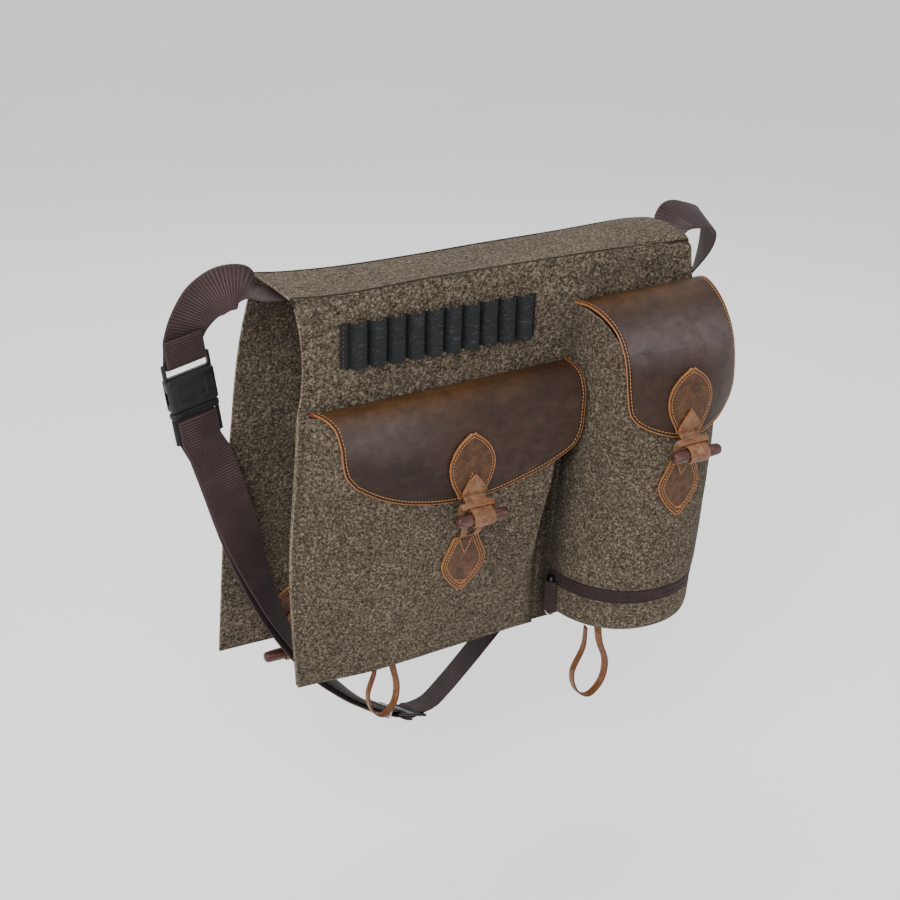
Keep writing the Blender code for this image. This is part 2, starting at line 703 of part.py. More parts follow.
def leaf(name, table, middle, top, length, surface, thickness=LEATHER, toward=-1.0):
    """Leaf shaped tab that lies on a surface, its outer side towards -Y or +Y."""
    def point(u, v):
        half = cubic(table, v)
        x = middle + half * (2 * u - 1) * -toward
        z = top - length * v
        return x, surface(x, z) + toward * (thickness + GAP), z

    sheet(name, point, 4, 9, thickness, "tan_leather")


def toggle(name, place, tilt=0.0):
    bpy.ops.mesh.primitive_cylinder_add(vertices=16, radius=TOGGLE_RADIUS * MM, depth=TOGGLE_LENGTH * MM)
    item = bpy.context.active_object
    item.name = name
    item.data.name = name
    for owner in list(item.users_collection):
        owner.objects.unlink(item)
    BAG.objects.link(item)
    item.location = Vector(place) * MM
    item.rotation_euler = (0.0, math.pi / 2 + tilt, 0.0)
    item.data.materials.append(MATERIALS["toggle"])
    item.data.shade_smooth()
    bevel(item, TOGGLE_ROUNDING, 2)


def neck_line(place, leaf_y):
    """Where a wrap leaves its leaf and where it meets the toggle: (y, z) of each."""
    _, y, z = place
    ring = TOGGLE_RADIUS + GAP + WRAP_THICK / 2
    rest = leaf_y - WRAP_THICK / 2 - 1.5 * GAP
    angle = math.radians(NECK_ANGLE)
    return (rest, z + ring + NECK_RISE), (y - ring * math.cos(angle), z + ring * math.sin(angle))


def wrap(name, place, start, leaf_y):
    """Strip from a leaf to the toggle and once round it. Its upper end is a point on the leaf."""
    x, y, z = place
    ring = TOGGLE_RADIUS + GAP + WRAP_THICK / 2
    (rest, bend), meet = neck_line(place, leaf_y)
    stations = [(rest, mix(start, bend, share), half) for share, half in WRAP_END]
    stations.append((*meet, WRAP_WIDTH / 2))
    for turn in range(1, WRAP_TURNS + 1):
        angle = math.radians(NECK_ANGLE - turn * WRAP_TURN)
        stations.append((y - ring * math.cos(angle), z + ring * math.sin(angle), WRAP_WIDTH / 2))
    made = []
    for index, (py, pz, half) in enumerate(stations):
        before = stations[max(index - 1, 0)]
        after = stations[min(index + 1, len(stations) - 1)]
        travel = Vector((0.0, after[0] - before[0], after[1] - before[1])).normalized()
        across = Vector((1.0, 0.0, 0.0))
        made.append((Vector((x, py, pz)), across * half, across.cross(travel)))
    band(name, made, WRAP_THICK, "tan_leather")


def catch_loop(name, place, top, low_y, leaf_y):
    """Narrow strip from the catch leaf up behind the toggle and over the wrap's neck."""
    x, y, z = place
    (rest, bend), (meet_y, meet_z) = neck_line(place, leaf_y)
    along = Vector((0.0, meet_y - rest, meet_z - bend)).normalized()
    lift = WRAP_THICK / 2 + LOOP_THICK / 2 + 1.5 * GAP
    over_y = mix(rest, meet_y, 0.5) + along.z * lift
    over_z = mix(bend, meet_z, 0.5) - along.y * lift
    behind = y + TOGGLE_RADIUS + LOOP_THICK / 2 + LOOP_CLEARANCE
    heights = [(low_y, top + 1.0), (mix(low_y, behind, 0.6), mix(top, z, 0.5)), (behind, z + 1.0),
               (mix(behind, over_y, 0.5), mix(z, over_z, 0.75))]
    side = [(dx, *place, *width) for (dx, *width), place in zip(LOOP_HALF, heights)]
    side += [(dx, over_y, over_z, 0.0, along.y, along.z) for dx in LOOP_ACROSS]
    rows = [(x + dx, py, pz, wx, wy, wz) for dx, py, pz, wx, wy, wz in side]
    for dx, py, pz, wx, wy, wz in side[-2::-1]:
        rows.append((x - dx, py, pz, -wx, wy, wz))
    band(name, strip_stations(rows, 3, LOOP_STRIP), LOOP_THICK, "tan_leather")


def leaf_front(surface, x, top, bottom):
    """Y of the foremost place on a leaf between two heights."""
    heights = (top, (top + bottom) / 2, bottom)
    return min(surface(x + side * WRAP_WIDTH / 2, z) for side in (-1, 0, 1) for z in heights) - LEATHER - GAP


def closures():
    flat_y = leaf_front(flap_front, FLAT_LEAF_X, FLAT_WRAP_START, FLAT_LEAF_TIP - UPPER_LEAF_LENGTH)
    leaf("flat_leaf", UPPER_LEAF, FLAT_LEAF_X, FLAT_LEAF_TIP, UPPER_LEAF_LENGTH, flap_front)
    wrap("flat_wrap", FLAT_TOGGLE, FLAT_WRAP_START, flat_y)
    toggle("flat_toggle", FLAT_TOGGLE, FLAT_TOGGLE_TILT)
    leaf("flat_catch_leaf", CATCH_LEAF, FLAT_LEAF_X, FLAT_CATCH_TOP, CATCH_LEAF_LENGTH, pocket_face)
    low_y = leaf_front(pocket_face, FLAT_LEAF_X, FLAT_CATCH_TOP, FLAT_CATCH_TOP - 4)
    low_y -= LOOP_THICK / 2 + 2 * GAP
    catch_loop("flat_catch_loop", FLAT_TOGGLE, FLAT_CATCH_TOP, low_y, flat_y)
    round_y = leaf_front(on_round_flap, ROUND_LEAF_X, ROUND_WRAP_START, ROUND_LEAF_TIP - UPPER_LEAF_LENGTH)
    leaf("round_leaf", UPPER_LEAF, ROUND_LEAF_X, ROUND_LEAF_TIP, UPPER_LEAF_LENGTH, on_round_flap)
    wrap("round_wrap", ROUND_TOGGLE, ROUND_WRAP_START, round_y)
    toggle("round_toggle", ROUND_TOGGLE)
    leaf("round_catch_leaf", CATCH_LEAF, ROUND_LEAF_X, ROUND_CATCH_TOP, CATCH_LEAF_LENGTH, on_round_pocket)
    low_y = leaf_front(on_round_pocket, ROUND_LEAF_X, ROUND_CATCH_TOP, ROUND_CATCH_TOP - 4)
    catch_loop("round_catch_loop", ROUND_TOGGLE, ROUND_CATCH_TOP, low_y - LOOP_THICK / 2 - 2 * GAP, round_y)


def back_inner(x, z):
    """Y of the back panel's inner face."""
    return back_face(min(FELT - z, BACK_LENGTH)) - FELT


def back_closures():
    for side, x in (("left", BACK_LEAF_LEFT_X), ("right", BACK_LEAF_RIGHT_X)):
        leaf(f"back_leaf_{side}", UPPER_LEAF, x, BACK_LEAF_TOP, BACK_LEAF_LENGTH, back_inner)
        start = BACK_LEAF_TOP - BACK_WRAP_DROP
        leaf_y = leaf_front(back_inner, x, start, BACK_LEAF_TOP - BACK_LEAF_LENGTH) - GAP
        place = (x, leaf_y - TOGGLE_RADIUS, BACK_TOGGLE_Z)
        wrap(f"back_wrap_{side}", place, start, leaf_y)
        toggle(f"back_toggle_{side}", (x - BACK_TOGGLE_SHIFT, place[1], BACK_TOGGLE_Z))


def hanging_loop(name, place, size):
    """Teardrop loop of a leather strip, hanging from a seam and turning from its left to its right side."""
    x, y, z = place
    spread, length = size
    outline = [(-HANGING_NECK, 0.0), (-HANGING_NECK - 2, 0.28)]
    outline += [(share * spread, drop) for share, drop in TEARDROP]
    outline += [(HANGING_NECK + 4, 0.28), (HANGING_NECK, 0.0)]
    rows = []
    for index, (dx, share) in enumerate(outline):
        angle = math.radians(mix(LOOP_TURN_LEFT, LOOP_TURN_RIGHT, index / (len(outline) - 1)))
        rows.append((x + dx, y + 0.5 * abs(dx * math.sin(angle)), z - length * share,
                     math.sin(angle), math.cos(angle), 0.0))
    band(name, strip_stations(rows, 3, HANGING_STRIP), HANGING_THICK, "tan_leather")


def hanging_loops():
    behind = front_face(LOOP_LEFT_X, LOOP_LEFT_Z) + FELT + 2 * GAP + HANGING_STRIP / 2
    hanging_loop("hanging_loop_left", (LOOP_LEFT_X, behind, LOOP_LEFT_Z), LOOP_LEFT_SIZE)
    hanging_loop("hanging_loop_right", (LOOP_RIGHT_X, LOOP_RIGHT_Y, BASE_BOTTOM - 2 * GAP), LOOP_RIGHT_SIZE)


# Elastic

def cartridge_elastic():
    """Strip sewn to the panel between its loops."""
    start = ELASTIC_LEFT + ELASTIC_TAB
    pitch = (ELASTIC_RIGHT - ELASTIC_END - start) / LOOP_COUNT
    places = [(ELASTIC_LEFT, 0.0)]
    for loop in range(LOOP_COUNT):
        places += [(start + pitch * (loop + share), bulge) for share, bulge in LOOP_PROFILE]
    places += [(start + pitch * LOOP_COUNT, 0.0), (ELASTIC_RIGHT, 0.0)]

    def point(u, v):
        x, bulge = places[round(u * (len(places) - 1))]
        z = ELASTIC_TOP - ELASTIC_HEIGHT * v
        return x, front_face(x, z) - 2 * GAP - ELASTIC_THICK - bulge, z

    sheet("cartridge_elastic", point, len(places) - 1, 1, ELASTIC_THICK, "elastic")


# Strap with its buckle and adjuster

def buckle_frame():
    return (Matrix.Translation(Vector(BUCKLE_PLACE) * MM)
            @ Matrix.Rotation(BUCKLE_TURN, 4, "Z") @ Matrix.Rotation(BUCKLE_TILT, 4, "Y"))


def in_frame(frame, x, y, z):
    """World point in millimetres from a place in a frame."""
    return (frame @ Vector((x * MM, y * MM, z * MM))) / MM


def buckle():
    """Socket with a hollow and side windows, and a tongue whose three prongs stand in it."""
    frame = buckle_frame()
    socket = block("buckle_socket", (BUCKLE_WIDTH, BUCKLE_DEPTH, SOCKET_LENGTH), (0, 0, SOCKET_MIDDLE), frame,
                   "plastic")
    bevel(socket, SOCKET_ROUNDING, 2)
    bar = upright("socket_bar", BUCKLE_WIDTH, 2 * BAR_HALF, BAR_ROOT, SOCKET_BAR + BAR_HALF)
    hollow = block("socket_hollow", HOLLOW_SIZE, (0, 0, HOLLOW_MIDDLE), frame, None)
    window = block("socket_window", WINDOW_SIZE, (0, 0, WINDOW_MIDDLE), frame, None)
    slot = upright("socket_slot", BUCKLE_SLOT, SLOT_DEPTH, SOCKET_SLOT_LOW, SOCKET_BAR - BAR_HALF)
    joined(socket, [bar], [hollow, window, slot])
    tongue = block("buckle_tongue", FOOT_SIZE, (0, 0, FOOT_MIDDLE), frame, "plastic")
    bevel(tongue, FOOT_ROUNDING, 2)
    plate_size = (BUCKLE_WIDTH, 2 * TONGUE_HALF, PLATE_LENGTH)
    plate = block("tongue_plate", plate_size, (0, 0, PLATE_MIDDLE), frame, None)
    prongs = block("tongue_prongs", PRONGS_SIZE, (0, 0, PRONGS_MIDDLE), frame, None)
    forks = [block(f"tongue_fork_{side}", FORK_SIZE, (offset, 0, FORK_MIDDLE), frame, None)
             for side, offset in (("left", -FORK_OFFSET), ("right", FORK_OFFSET))]
    slit_size = (BUCKLE_SLOT, SLOT_DEPTH, TONGUE_SLOT_LENGTH)
    slit = block("tongue_slot", slit_size, (0, 0, TONGUE_SLOT_MIDDLE), frame, None)
    joined(tongue, [plate, prongs], forks + [slit])


def upright(name, width, depth, low, high):
    """Cutter or extra block of the buckle between two heights."""
    return block(name, (width, depth, high - low), (0, 0, (low + high) / 2), buckle_frame(), None)


def fold_round(centre_z, radius, start, stop, side):
    """Stations of a turn round a bar of the buckle. The side is the sign of the width direction."""
    frame = buckle_frame()
    turn = frame.to_3x3()
    across = turn @ Vector((side, 0.0, 0.0))
    stations = []
    for step in range(FOLD_STEPS + 1):
        angle = math.radians(mix(start, stop, step / FOLD_STEPS))
        middle = in_frame(frame, 0.0, radius * math.cos(angle), centre_z + radius * math.sin(angle))
        forward = angle + math.copysign(math.pi / 2, stop - start)
        travel = turn @ Vector((0.0, math.cos(forward), math.sin(forward)))
        stations.append((middle, across * WEB_WIDTH / 2, across.cross(travel)))
    return stations


def strap_left():
    """From under the saddle's left end round the socket's bar, with its sewn end lying on it."""
    stations = strip_stations(STRAP_LEFT, 4, WEB_WIDTH)
    stations += fold_round(SOCKET_BAR, BAR_HALF + 3 * GAP + WEB_THICK / 2, 0.0, -180.0, -1.0)
    middle, across, normal = stations[-1]
    stations.append((middle + buckle_frame().to_3x3() @ Vector((0.0, 0.0, SEWN_END)), across, normal))
    band("strap_left", stations, WEB_THICK, "webbing")


def strap_long():
    """From the saddle's right end through the adjuster, round the tongue's bar and back to the adjuster."""
    frame = adjuster_frame()
    across = frame.to_3x3() @ Vector((0.0, 1.0, 0.0))
    through, under = ([(*in_frame(frame, x, 0.0, z), *across) for x, z in line]
                      for line in (THROUGH_ADJUSTER, UNDER_ADJUSTER))
    first = stations_of(samples(STRAP_RIGHT, 2) + through, WEB_WIDTH)
    double = strip_stations(STRAP_MIDDLE, 3, WEB_WIDTH)
    radius = TONGUE_HALF + GAP + WEB_THICK / 2
    fold = fold_round(TONGUE_BAR, radius, 180.0, 0.0, 1.0)
    down = buckle_frame().to_3x3() @ Vector((0.0, 0.0, TONGUE_END - TONGUE_BAR))
    before = (fold[0][0] + down, *fold[0][1:])
    behind = (fold[-1][0] + down, *fold[-1][1:])
    lower = reversed(shift(double, -LAYER_SPACE, -LAYER_SAG))
    rear = [(middle, width, -normal) for middle, width, normal in lower]
    end = reversed(stations_of(under[::-1], WEB_WIDTH))
    last = [(middle, width, -normal) for middle, width, normal in end]
    band("strap_long", first + shift(double, LAYER_SPACE) + [before] + fold + [behind] + rear + last,
         WEB_THICK, "webbing")


def adjuster_frame():
    return (Matrix.Translation(Vector(ADJUSTER_PLACE) * MM)
            @ Matrix.Rotation(ADJUSTER_TILT, 4, "Y") @ Matrix.Rotation(ADJUSTER_LEAN, 4, "X"))


def adjuster():
    frame = adjuster_frame()
    plate = block("strap_adjuster", ADJUSTER_SIZE, (0, 0, 0), frame, "plastic")
    bevel(plate, ADJUSTER_ROUNDING, 2)
    for side, offset in (("right", ADJUSTER_SLOT_OFFSET), ("left", -ADJUSTER_SLOT_OFFSET)):
        cut(plate, block(f"adjuster_slot_{side}", ADJUSTER_SLOT, (offset, 0, 0), frame, None))


def slide_ring():
    """Closed wire loop round both layers of the strap, next to the adjuster."""
    half_y = SLIDE_RING_SIZE[0] / 2 - SLIDE_RING_CORNER
    half_z = SLIDE_RING_SIZE[1] / 2 - SLIDE_RING_CORNER
    curve = bpy.data.curves.new("strap_slide_ring", "CURVE")
    curve.dimensions = "3D"
    curve.bevel_depth = WIRE_RADIUS * MM
    curve.bevel_resolution = 1
    wire = curve.splines.new("POLY")
    corners = []
    for sign_y, sign_z, start in ((1, 1, 0), (-1, 1, 90), (-1, -1, 180), (1, -1, 270)):
        for step in range(CORNER_STEPS + 1):
            angle = math.radians(start + 90 * step / CORNER_STEPS)
            corners.append((half_y * sign_y + SLIDE_RING_CORNER * math.cos(angle),
                            half_z * sign_z + SLIDE_RING_CORNER * math.sin(angle)))
    wire.points.add(len(corners) - 1)
    for spot, (y, z) in zip(wire.points, corners):
        spot.co = (0.0, y * MM, z * MM, 1.0)
    wire.use_cyclic_u = True
    curve.materials.append(MATERIALS["steel"])
    item = bpy.data.objects.new("strap_slide_ring", curve)
    BAG.objects.link(item)
    item.matrix_world = (Matrix.Translation(Vector(SLIDE_RING_PLACE) * MM)
                         @ Matrix.Rotation(SLIDE_RING_TILT, 4, "Y") @ Matrix.Rotation(ADJUSTER_LEAN, 4, "X"))


clear_scene()
BAG = collection("hunting_bag")
CUTTERS = collection("cutters")
MATERIALS = make_materials()
saddle_top()
front_panel()
back_panel()
flat_pocket()
flat_flap()
round_pocket()
zip_tape()
round_base()
round_flap()
zip_puller()
closures()
back_closures()
hanging_loops()
cartridge_elastic()
buckle()
strap_left()
strap_long()
adjuster()
slide_ring()
bpy.context.view_layer.update()
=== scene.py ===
"""Looks of the hunting bag: felt, waxed leather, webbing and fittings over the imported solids.

Tables and surfaces are in millimetres and the scene is in metres. The front looks along -Y.
"""
import json
from math import copysign, cos, pi, radians, sin, sqrt

import bmesh
import bpy
from mathutils import Matrix, Vector, kdtree, noise

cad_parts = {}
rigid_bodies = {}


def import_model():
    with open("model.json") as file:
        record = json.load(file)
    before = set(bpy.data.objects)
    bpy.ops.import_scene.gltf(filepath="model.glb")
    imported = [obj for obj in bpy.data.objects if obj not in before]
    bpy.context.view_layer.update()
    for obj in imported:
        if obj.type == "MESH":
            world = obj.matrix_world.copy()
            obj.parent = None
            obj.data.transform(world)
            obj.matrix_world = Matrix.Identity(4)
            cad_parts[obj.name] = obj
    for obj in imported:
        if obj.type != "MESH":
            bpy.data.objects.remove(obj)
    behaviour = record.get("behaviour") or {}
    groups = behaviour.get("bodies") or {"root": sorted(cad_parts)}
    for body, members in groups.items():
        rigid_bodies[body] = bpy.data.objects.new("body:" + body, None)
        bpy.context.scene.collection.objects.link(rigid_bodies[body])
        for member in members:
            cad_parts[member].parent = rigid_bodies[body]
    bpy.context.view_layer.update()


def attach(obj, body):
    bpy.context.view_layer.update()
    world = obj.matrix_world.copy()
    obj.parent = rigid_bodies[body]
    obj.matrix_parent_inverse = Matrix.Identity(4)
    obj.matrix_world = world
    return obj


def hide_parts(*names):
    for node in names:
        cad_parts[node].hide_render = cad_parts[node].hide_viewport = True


MM = 0.001
GAP = 0.35
BODY = "root"

# Camera of the photograph: turn and height in degrees, distance and aim in millimetres
CAMERA_AZIMUTH = -30.45
CAMERA_ELEVATION = 23.9
CAMERA_ROLL = 1.55
CAMERA_DISTANCE = 1471.4
CAMERA_AIM = (-26.6, 0, -178.9)
CAMERA_LENS = 64.44
FLOOR_HEIGHT = -0.66

# Felt body
SADDLE_LENGTH = 400.0
SADDLE_WIDTH = 81.0
FELT = 3.0
FRONT_LENGTH = 360.0
BACK_LENGTH = 373.0
HALF_LENGTH = SADDLE_LENGTH / 2
HALF_WIDTH = SADDLE_WIDTH / 2
FRONT_SEAM = [(-200, 0), (-165, -2.5), (-120, -2), (-70, 0), (60, 1), (200, 0)]
BACK_SEAM = [(-200, 0), (-170, -3), (-120, -5), (-50, -4.5), (20, -2.5), (100, -1), (180, 1.5), (200, 0)]
SADDLE_ARCH = [(-200, 0), (40, 0), (120, 2), (200, 6)]
FRONT_LEFT_EDGE = [(0, -200), (30, -194), (60, -191.5), (85, -193), (106, -197), (140, -199), (233, -206),
                   (300, -205), (360, -202)]
FRONT_RIGHT_EDGE = [(0, 200), (20, 202), (43, 205.5), (77, 208.5), (113, 211.5), (173, 212.5), (288, 209.5),
                    (315, 206.5), (360, 205)]
BACK_LEFT_EDGE = [(0, -200), (40, -205), (100, -211), (140, -214.5), (255, -225), (373, -232)]
BACK_RIGHT_EDGE = [(0, 200), (140, 205), (373, 212)]
FRONT_BULGE = [(-206, 0), (-181, 1.5), (-135, 6), (-97, 5), (-33, 1), (54, -3), (200, -3)]
BACK_STANDOFF = [(0, 0), (20, 3), (60, 14), (90, 19), (140, 22), (250, 25), (373, 27)]

# Flat pocket and its flap
POCKET_RIGHT_EDGE = [(-357, 45), (-288, 46), (-236, 50), (-194, 57), (-100, 60)]
POCKET_DEPTH = [(-357, 0), (-345, 1), (-310, 8), (-260, 17), (-200, 24), (-150, 26), (-100, 26)]
POCKET_SHOULDER = [(5, 7.8), (8, 12.6), (11, 17), (17, 21.6), (24, 24.8), (34, 26.4)]
POCKET_MOUTH_DROP = 5.0
POCKET_LEFT_ROLL = 34.0
POCKET_RIGHT_ROLL = 13.0
LEATHER = 2.0
FLAP_TOP_LEFT = -98.5
FLAP_TOP_RIGHT = -90.5
FLAP_SHOULDER = [(0, 0, 0), (0.10, 0.16, 1), (0.20, 0.46, 2.5), (0.32, 0.80, 8.5), (0.45, 1, 22)]
SHOULDER_END = 0.45
FULL_DEPTH_BELOW = -150.0
FLAP_LEFT_EDGE = [(0, -184), (0.2, -178), (0.32, -175), (0.45, -173), (0.8, -169), (1, -158)]
FLAP_RIGHT_EDGE = [(0, 69), (0.3, 70), (0.6, 70), (0.85, 68), (1, 60)]
FLAP_LOWER_EDGE = [(-158, -162), (-131, -177), (-101, -187), (-62, -193), (-22, -192), (10, -185),
                   (34, -178), (60, -166)]

# Round pocket, its zip, base and flap
ROUND_SECTIONS = [(-345, 63, 204, 80, 2.2), (-312, 63, 205, 82, 2.2), (-285, 64, 208, 84, 2.2),
                  (-170, 70, 211, 86, 2.3), (-110, 73, 210, 86, 2.15), (-74, 73, 207, 84, 2),
                  (-40, 73, 204, 82, 1.9)]
ROUND_RIM = [(0, -40.2), (0.08, -41.6), (0.16, -50.5), (0.25, -73.5), (0.33, -88), (0.42, -96.5),
             (0.58, -97.5), (0.68, -90), (0.76, -74), (0.84, -50), (0.92, -37.5), (1, -37.5)]
ZIP_MIDDLE = -309.8
ZIP_HEIGHT = 13.4
SLIDER_LEVEL = -312.0
SLIDER_PLACE = (60.2, -47, SLIDER_LEVEL)
PULL_PLACE = (58.7, -50)
PULL_TURN = radians(-56.8)
PULL_WIDTH = 12.0
PULL_LENGTH = 31.0
BASE_ROWS = [(0, 1, 0), (0.25, 1, 10), (0.45, 0.997, 18), (0.6, 0.985, 24.4), (0.72, 0.96, 28.6),
             (0.82, 0.915, 30.9), (0.9, 0.8, 31.5), (1, 0.02, 31.5)]
BASE_BOTTOM = -348.4
ROUND_FLAP_LEFT = [(0, 72, -43.2, -37), (0.12, 76.5, -59, -37.5), (0.25, 81, -76, -43.5),
                   (0.4, 85.5, -91, -56), (0.55, 87, -103, -76), (0.75, 87, -110, -105),
                   (0.9, 89, -113.5, -124), (1, 96, -118, -134)]
ROUND_FLAP_MIDDLE = [(0, 136, -43.2, -35.5), (0.12, 140, -60, -31), (0.25, 143, -82, -36),
                     (0.4, 144, -107, -48), (0.55, 144, -126, -70), (0.75, 143, -131.4, -103),
                     (0.9, 142, -131.4, -130), (1, 142, -131.4, -147)]
ROUND_FLAP_RIGHT = [(0, 199, -43.2, -34), (0.12, 202, -60, -27), (0.25, 203, -80, -35),
                    (0.4, 203, -98, -52), (0.55, 204, -108, -74), (0.75, 204, -112.5, -106),
                    (0.9, 201, -113, -124), (1, 191, -117, -136)]
FLAP_ON_POCKET = 0.5
FLAP_SIDES = [((0, 0), (0, 1)), ((0, 1), (1, 1)), ((1, 1), (1, 0))]

# Rounded front corner of the saddle, and how deep the felt's dents are
CORNER = 11.0
DENT = 0.7

# Shade between the two pockets: its middle, and the height where it begins
SHADE_X = 58.0
SHADE_TOP = -90.0

# Golden zones and zones of painted grey reflection on each flap: middle u, reach along u, middle v, reach
# along v, share
FLAT_ZONES = {"fold": (0.3, 0.9, 0.14, 0.3, 0.85), "painted_reflection": (0.14, 0.4, 0.42, 0.36, 0.6)}
ROUND_ZONES = {"fold": (0.4, 1.2, 0.1, 0.26, 0.7), "painted_reflection": (0.5, 0.9, 0.46, 0.2, 0.85)}

# Rows of stitches: pitch, length and radius of a stitch
FLAP_STITCH = (3.4, 2.9, 0.42)
LEAF_STITCH = (3, 2.6, 0.4)
POCKET_STITCH = (4, 3, 0.32)
ZIP_STITCH = (3.2, 2.6, 0.25)
ELASTIC_STITCH = (4.2, 2.2, 0.4)
TACK_STITCH = (0.75, 3.4, 0.45)

# One stitch: place along it, swell and lift, each as a share
STITCH_RINGS = [(-0.5, 0.35, -0.55), (-0.38, 0.85, 0), (0, 1, 0.35), (0.38, 0.85, 0), (0.5, 0.35, -0.55)]
STITCH_SIDES = 6
# A gap in a path of more pitches than this has no stitch
STITCH_GAP = 8

# Line of stitches inside a border: steps of its search, and the error that is small enough or too large
INSET_STEPS = 5
INSET_CLOSE = 0.03
INSET_OFF = 0.06

# Leaf tabs: share of the length from the top, half width
UPPER_LEAF = [(0, 1.5), (0.12, 12), (0.3, 20), (0.5, 23), (0.72, 20.5), (0.9, 15), (1, 12.5)]
CATCH_LEAF = [(0, 12), (0.12, 15), (0.45, 22.5), (0.65, 19.5), (0.85, 11), (1, 1.5)]
UPPER_LEAF_LENGTH = 60.0
CATCH_LEAF_LENGTH = 58.0
TOGGLE_LENGTH = 52.0
TOGGLE_RADIUS = 5.8
# Toggle outline: place along its half length, radius share
TOGGLE_OUTLINE = [(0, 1), (0.25, 1), (0.5, 0.985), (0.7, 0.96), (0.85, 0.93), (0.93, 0.86), (0.975, 0.7),
                  (0.995, 0.42), (1, 0)]
WRAP_THICK = 1.6
WRAP_WIDTH = 21.0
NECK_ANGLE = 62.0
NECK_RISE = 7.0
# Steps of a wrap round its toggle, and the degrees of each
WRAP_STEPS = 14
WRAP_STEP = 22.0
LOOP_STRIP = 6.0
LOOP_THICK = 1.6
LOOP_BEHIND = 2.2
FLAT_LEAF_X = -47.5
FLAT_LEAF_TIP = -130.0
FLAT_TOGGLE = (-45.5, -90, -203.5)
FLAT_CATCH_TOP = -231.0
ROUND_LEAF_X = 140.5
ROUND_LEAF_TIP = -82.0
ROUND_TOGGLE = (139.5, -147, -157)
ROUND_CATCH_TOP = -168.0
BACK_LEAF_LEFT_X = -160.0
BACK_LEAF_RIGHT_X = 85.0
BACK_LEAF_TOP = -318.0
BACK_LEAF_LENGTH = 50.0
BACK_TOGGLE_Z = -383.0
BACK_TOGGLE_SHIFT = 5.0
FLAT_WRAP_START = -168.0
ROUND_WRAP_START = -120.0
BACK_WRAP_DROP = 26.0

# Hanging loops
HANGING_STRIP = 7.5
LOOP_LEFT_X = -114.0
LOOP_LEFT_Z = -349.0
LOOP_TURN_LEFT = 14.0
LOOP_TURN_RIGHT = -32.0
LOOP_RIGHT_PLACE = (85, -85)
LOOP_LENGTHS = (66, 76)
LOOP_SPREADS = (15.5, 20)

# Cartridge elastic
ELASTIC_LEFT = -159.0
ELASTIC_RIGHT = 31.0
ELASTIC_TOP = -24.0
ELASTIC_HEIGHT = 39.0
ELASTIC_THICK = 1.2
ELASTIC_TAB = 7.0
ELASTIC_END = 2.5
LOOP_COUNT = 10
LOOP_BULGE = 7.4
LOOP_PROFILE = [(0, 0), (0.07, 0), (0.12, 2.6), (0.18, 4.9), (0.29, 6.4), (0.5, 7.2), (0.71, 6.8),
                (0.82, 5.4), (0.88, 3.2), (0.93, 0), (1, 0)]

# Webbing
WEB_WIDTH = 38.0
WEB_THICK = 1.8
RIB_PITCH = 2.6
YARN_PITCH = 1.3
# Half outline of a strip's section: share of the half width, share of the half thickness
SECTION = [(-1, 0), (-0.985, 0.55), (-0.95, 0.92), (-0.85, 1), (-0.6, 1), (-0.3, 1), (0, 1), (0.3, 1),
           (0.6, 1), (0.85, 1), (0.95, 0.92), (0.985, 0.55)]
STRAP_LEFT = [(-178, -1, -5.4, 0, 1, 0), (-201, 4, -5.4, 0, 1, 0), (-210, 7.5, -4.6, 0, 0.99, 0.1),
              (-220, 14, 0.3, -0.12, 0.74, 0.66), (-232, 24, -2.5, -0.3, 0.5, 0.82),
              (-242, 32, -11, -0.55, 0.35, 0.75), (-249, 39.5, -21.5, -0.8, 0.12, 0.53),
              (-256.5, 44.5, -36, -0.93, -0.04, 0.25), (-262.3, 47.3, -53, -0.975, -0.137, -0.1)]
STRAP_RIGHT = [(178, -1, -0.8, 0, 1, 0), (205, 4, -0.8, 0, 1, 0), (213, 7.5, 2, 0, 0.95, 0.3),
               (225, 15, 8, 0.05, 0.84, 0.54), (243, 16.7, 6, 0.1, 0.88, 0.45),
               (260, 18, 1, 0.2, 0.93, 0.3), (270, 24, -12, 0.25, 0.95, 0.15),
               (273, 31, -32, 0.4, 0.9, 0.1), (266, 38, -60, 0.7, 0.7, 0),
               (247, 44, -100, 0.92, 0.3, -0.15), (216, 46, -160, 0.92, 0.2, -0.35),
               (172, 42, -232, 0.72, 0.55, -0.4), (120, 32, -305, 0.35, 0.9, -0.25),
               (70, 20, -357, 0.14, 0.97, -0.17), (20, 12, -400, 0.14, 0.97, -0.2),
               (-12, 10, -429, 0.1, 0.96, -0.25), (-33, 10, -447.5, 0.05, 0.955, -0.29),
               (-43, 10, -452.5, 0, 0.955, -0.29)]
STRAP_MIDDLE = [(-94, 10, -442.2, 0, 0.955, -0.29), (-110, 12, -430.5, 0, 0.97, -0.2),
                (-135, 15, -407, 0.05, 0.99, 0), (-164, 22, -374, 0.2, 0.97, 0.05),
                (-188, 29, -328, 0.5, 0.84, 0.12), (-206, 33, -280, 0.76, 0.6, 0.2),
                (-221.5, 37.5, -227, 0.94, 0.1, 0.28), (-234.5, 41.5, -181, 0.955, -0.02, 0.28),
                (-242.2, 44.2, -156, 0.97, 0.07, 0.2)]
LAYER_SPACE = 1.4
LAYER_SAG = 4.0
BUCKLE_PLACE = (-255.5, 45, -103)
BUCKLE_TURN = radians(8)
BUCKLE_TILT = radians(-9)
BUCKLE_WIDTH = 46.0
BUCKLE_DEPTH = 11.5
BUCKLE_SLOT = 39.6
BAR_HALF = 1.7
SOCKET_BAR = 36.8
TONGUE_HALF = 1.5
TONGUE_BAR = -19.0
TONGUE_END = -39.5
SEWN_END = 22.0
ADJUSTER_PLACE = (-68.7, 10, -451.8)
ADJUSTER_TILT = radians(18)
ADJUSTER_LEAN = radians(-17)
ADJUSTER_SIZE = (32, 46, 2.6)
ADJUSTER_SLOT = (9.2, 40.2, 12)
ADJUSTER_SLOT_OFFSET = 8.2
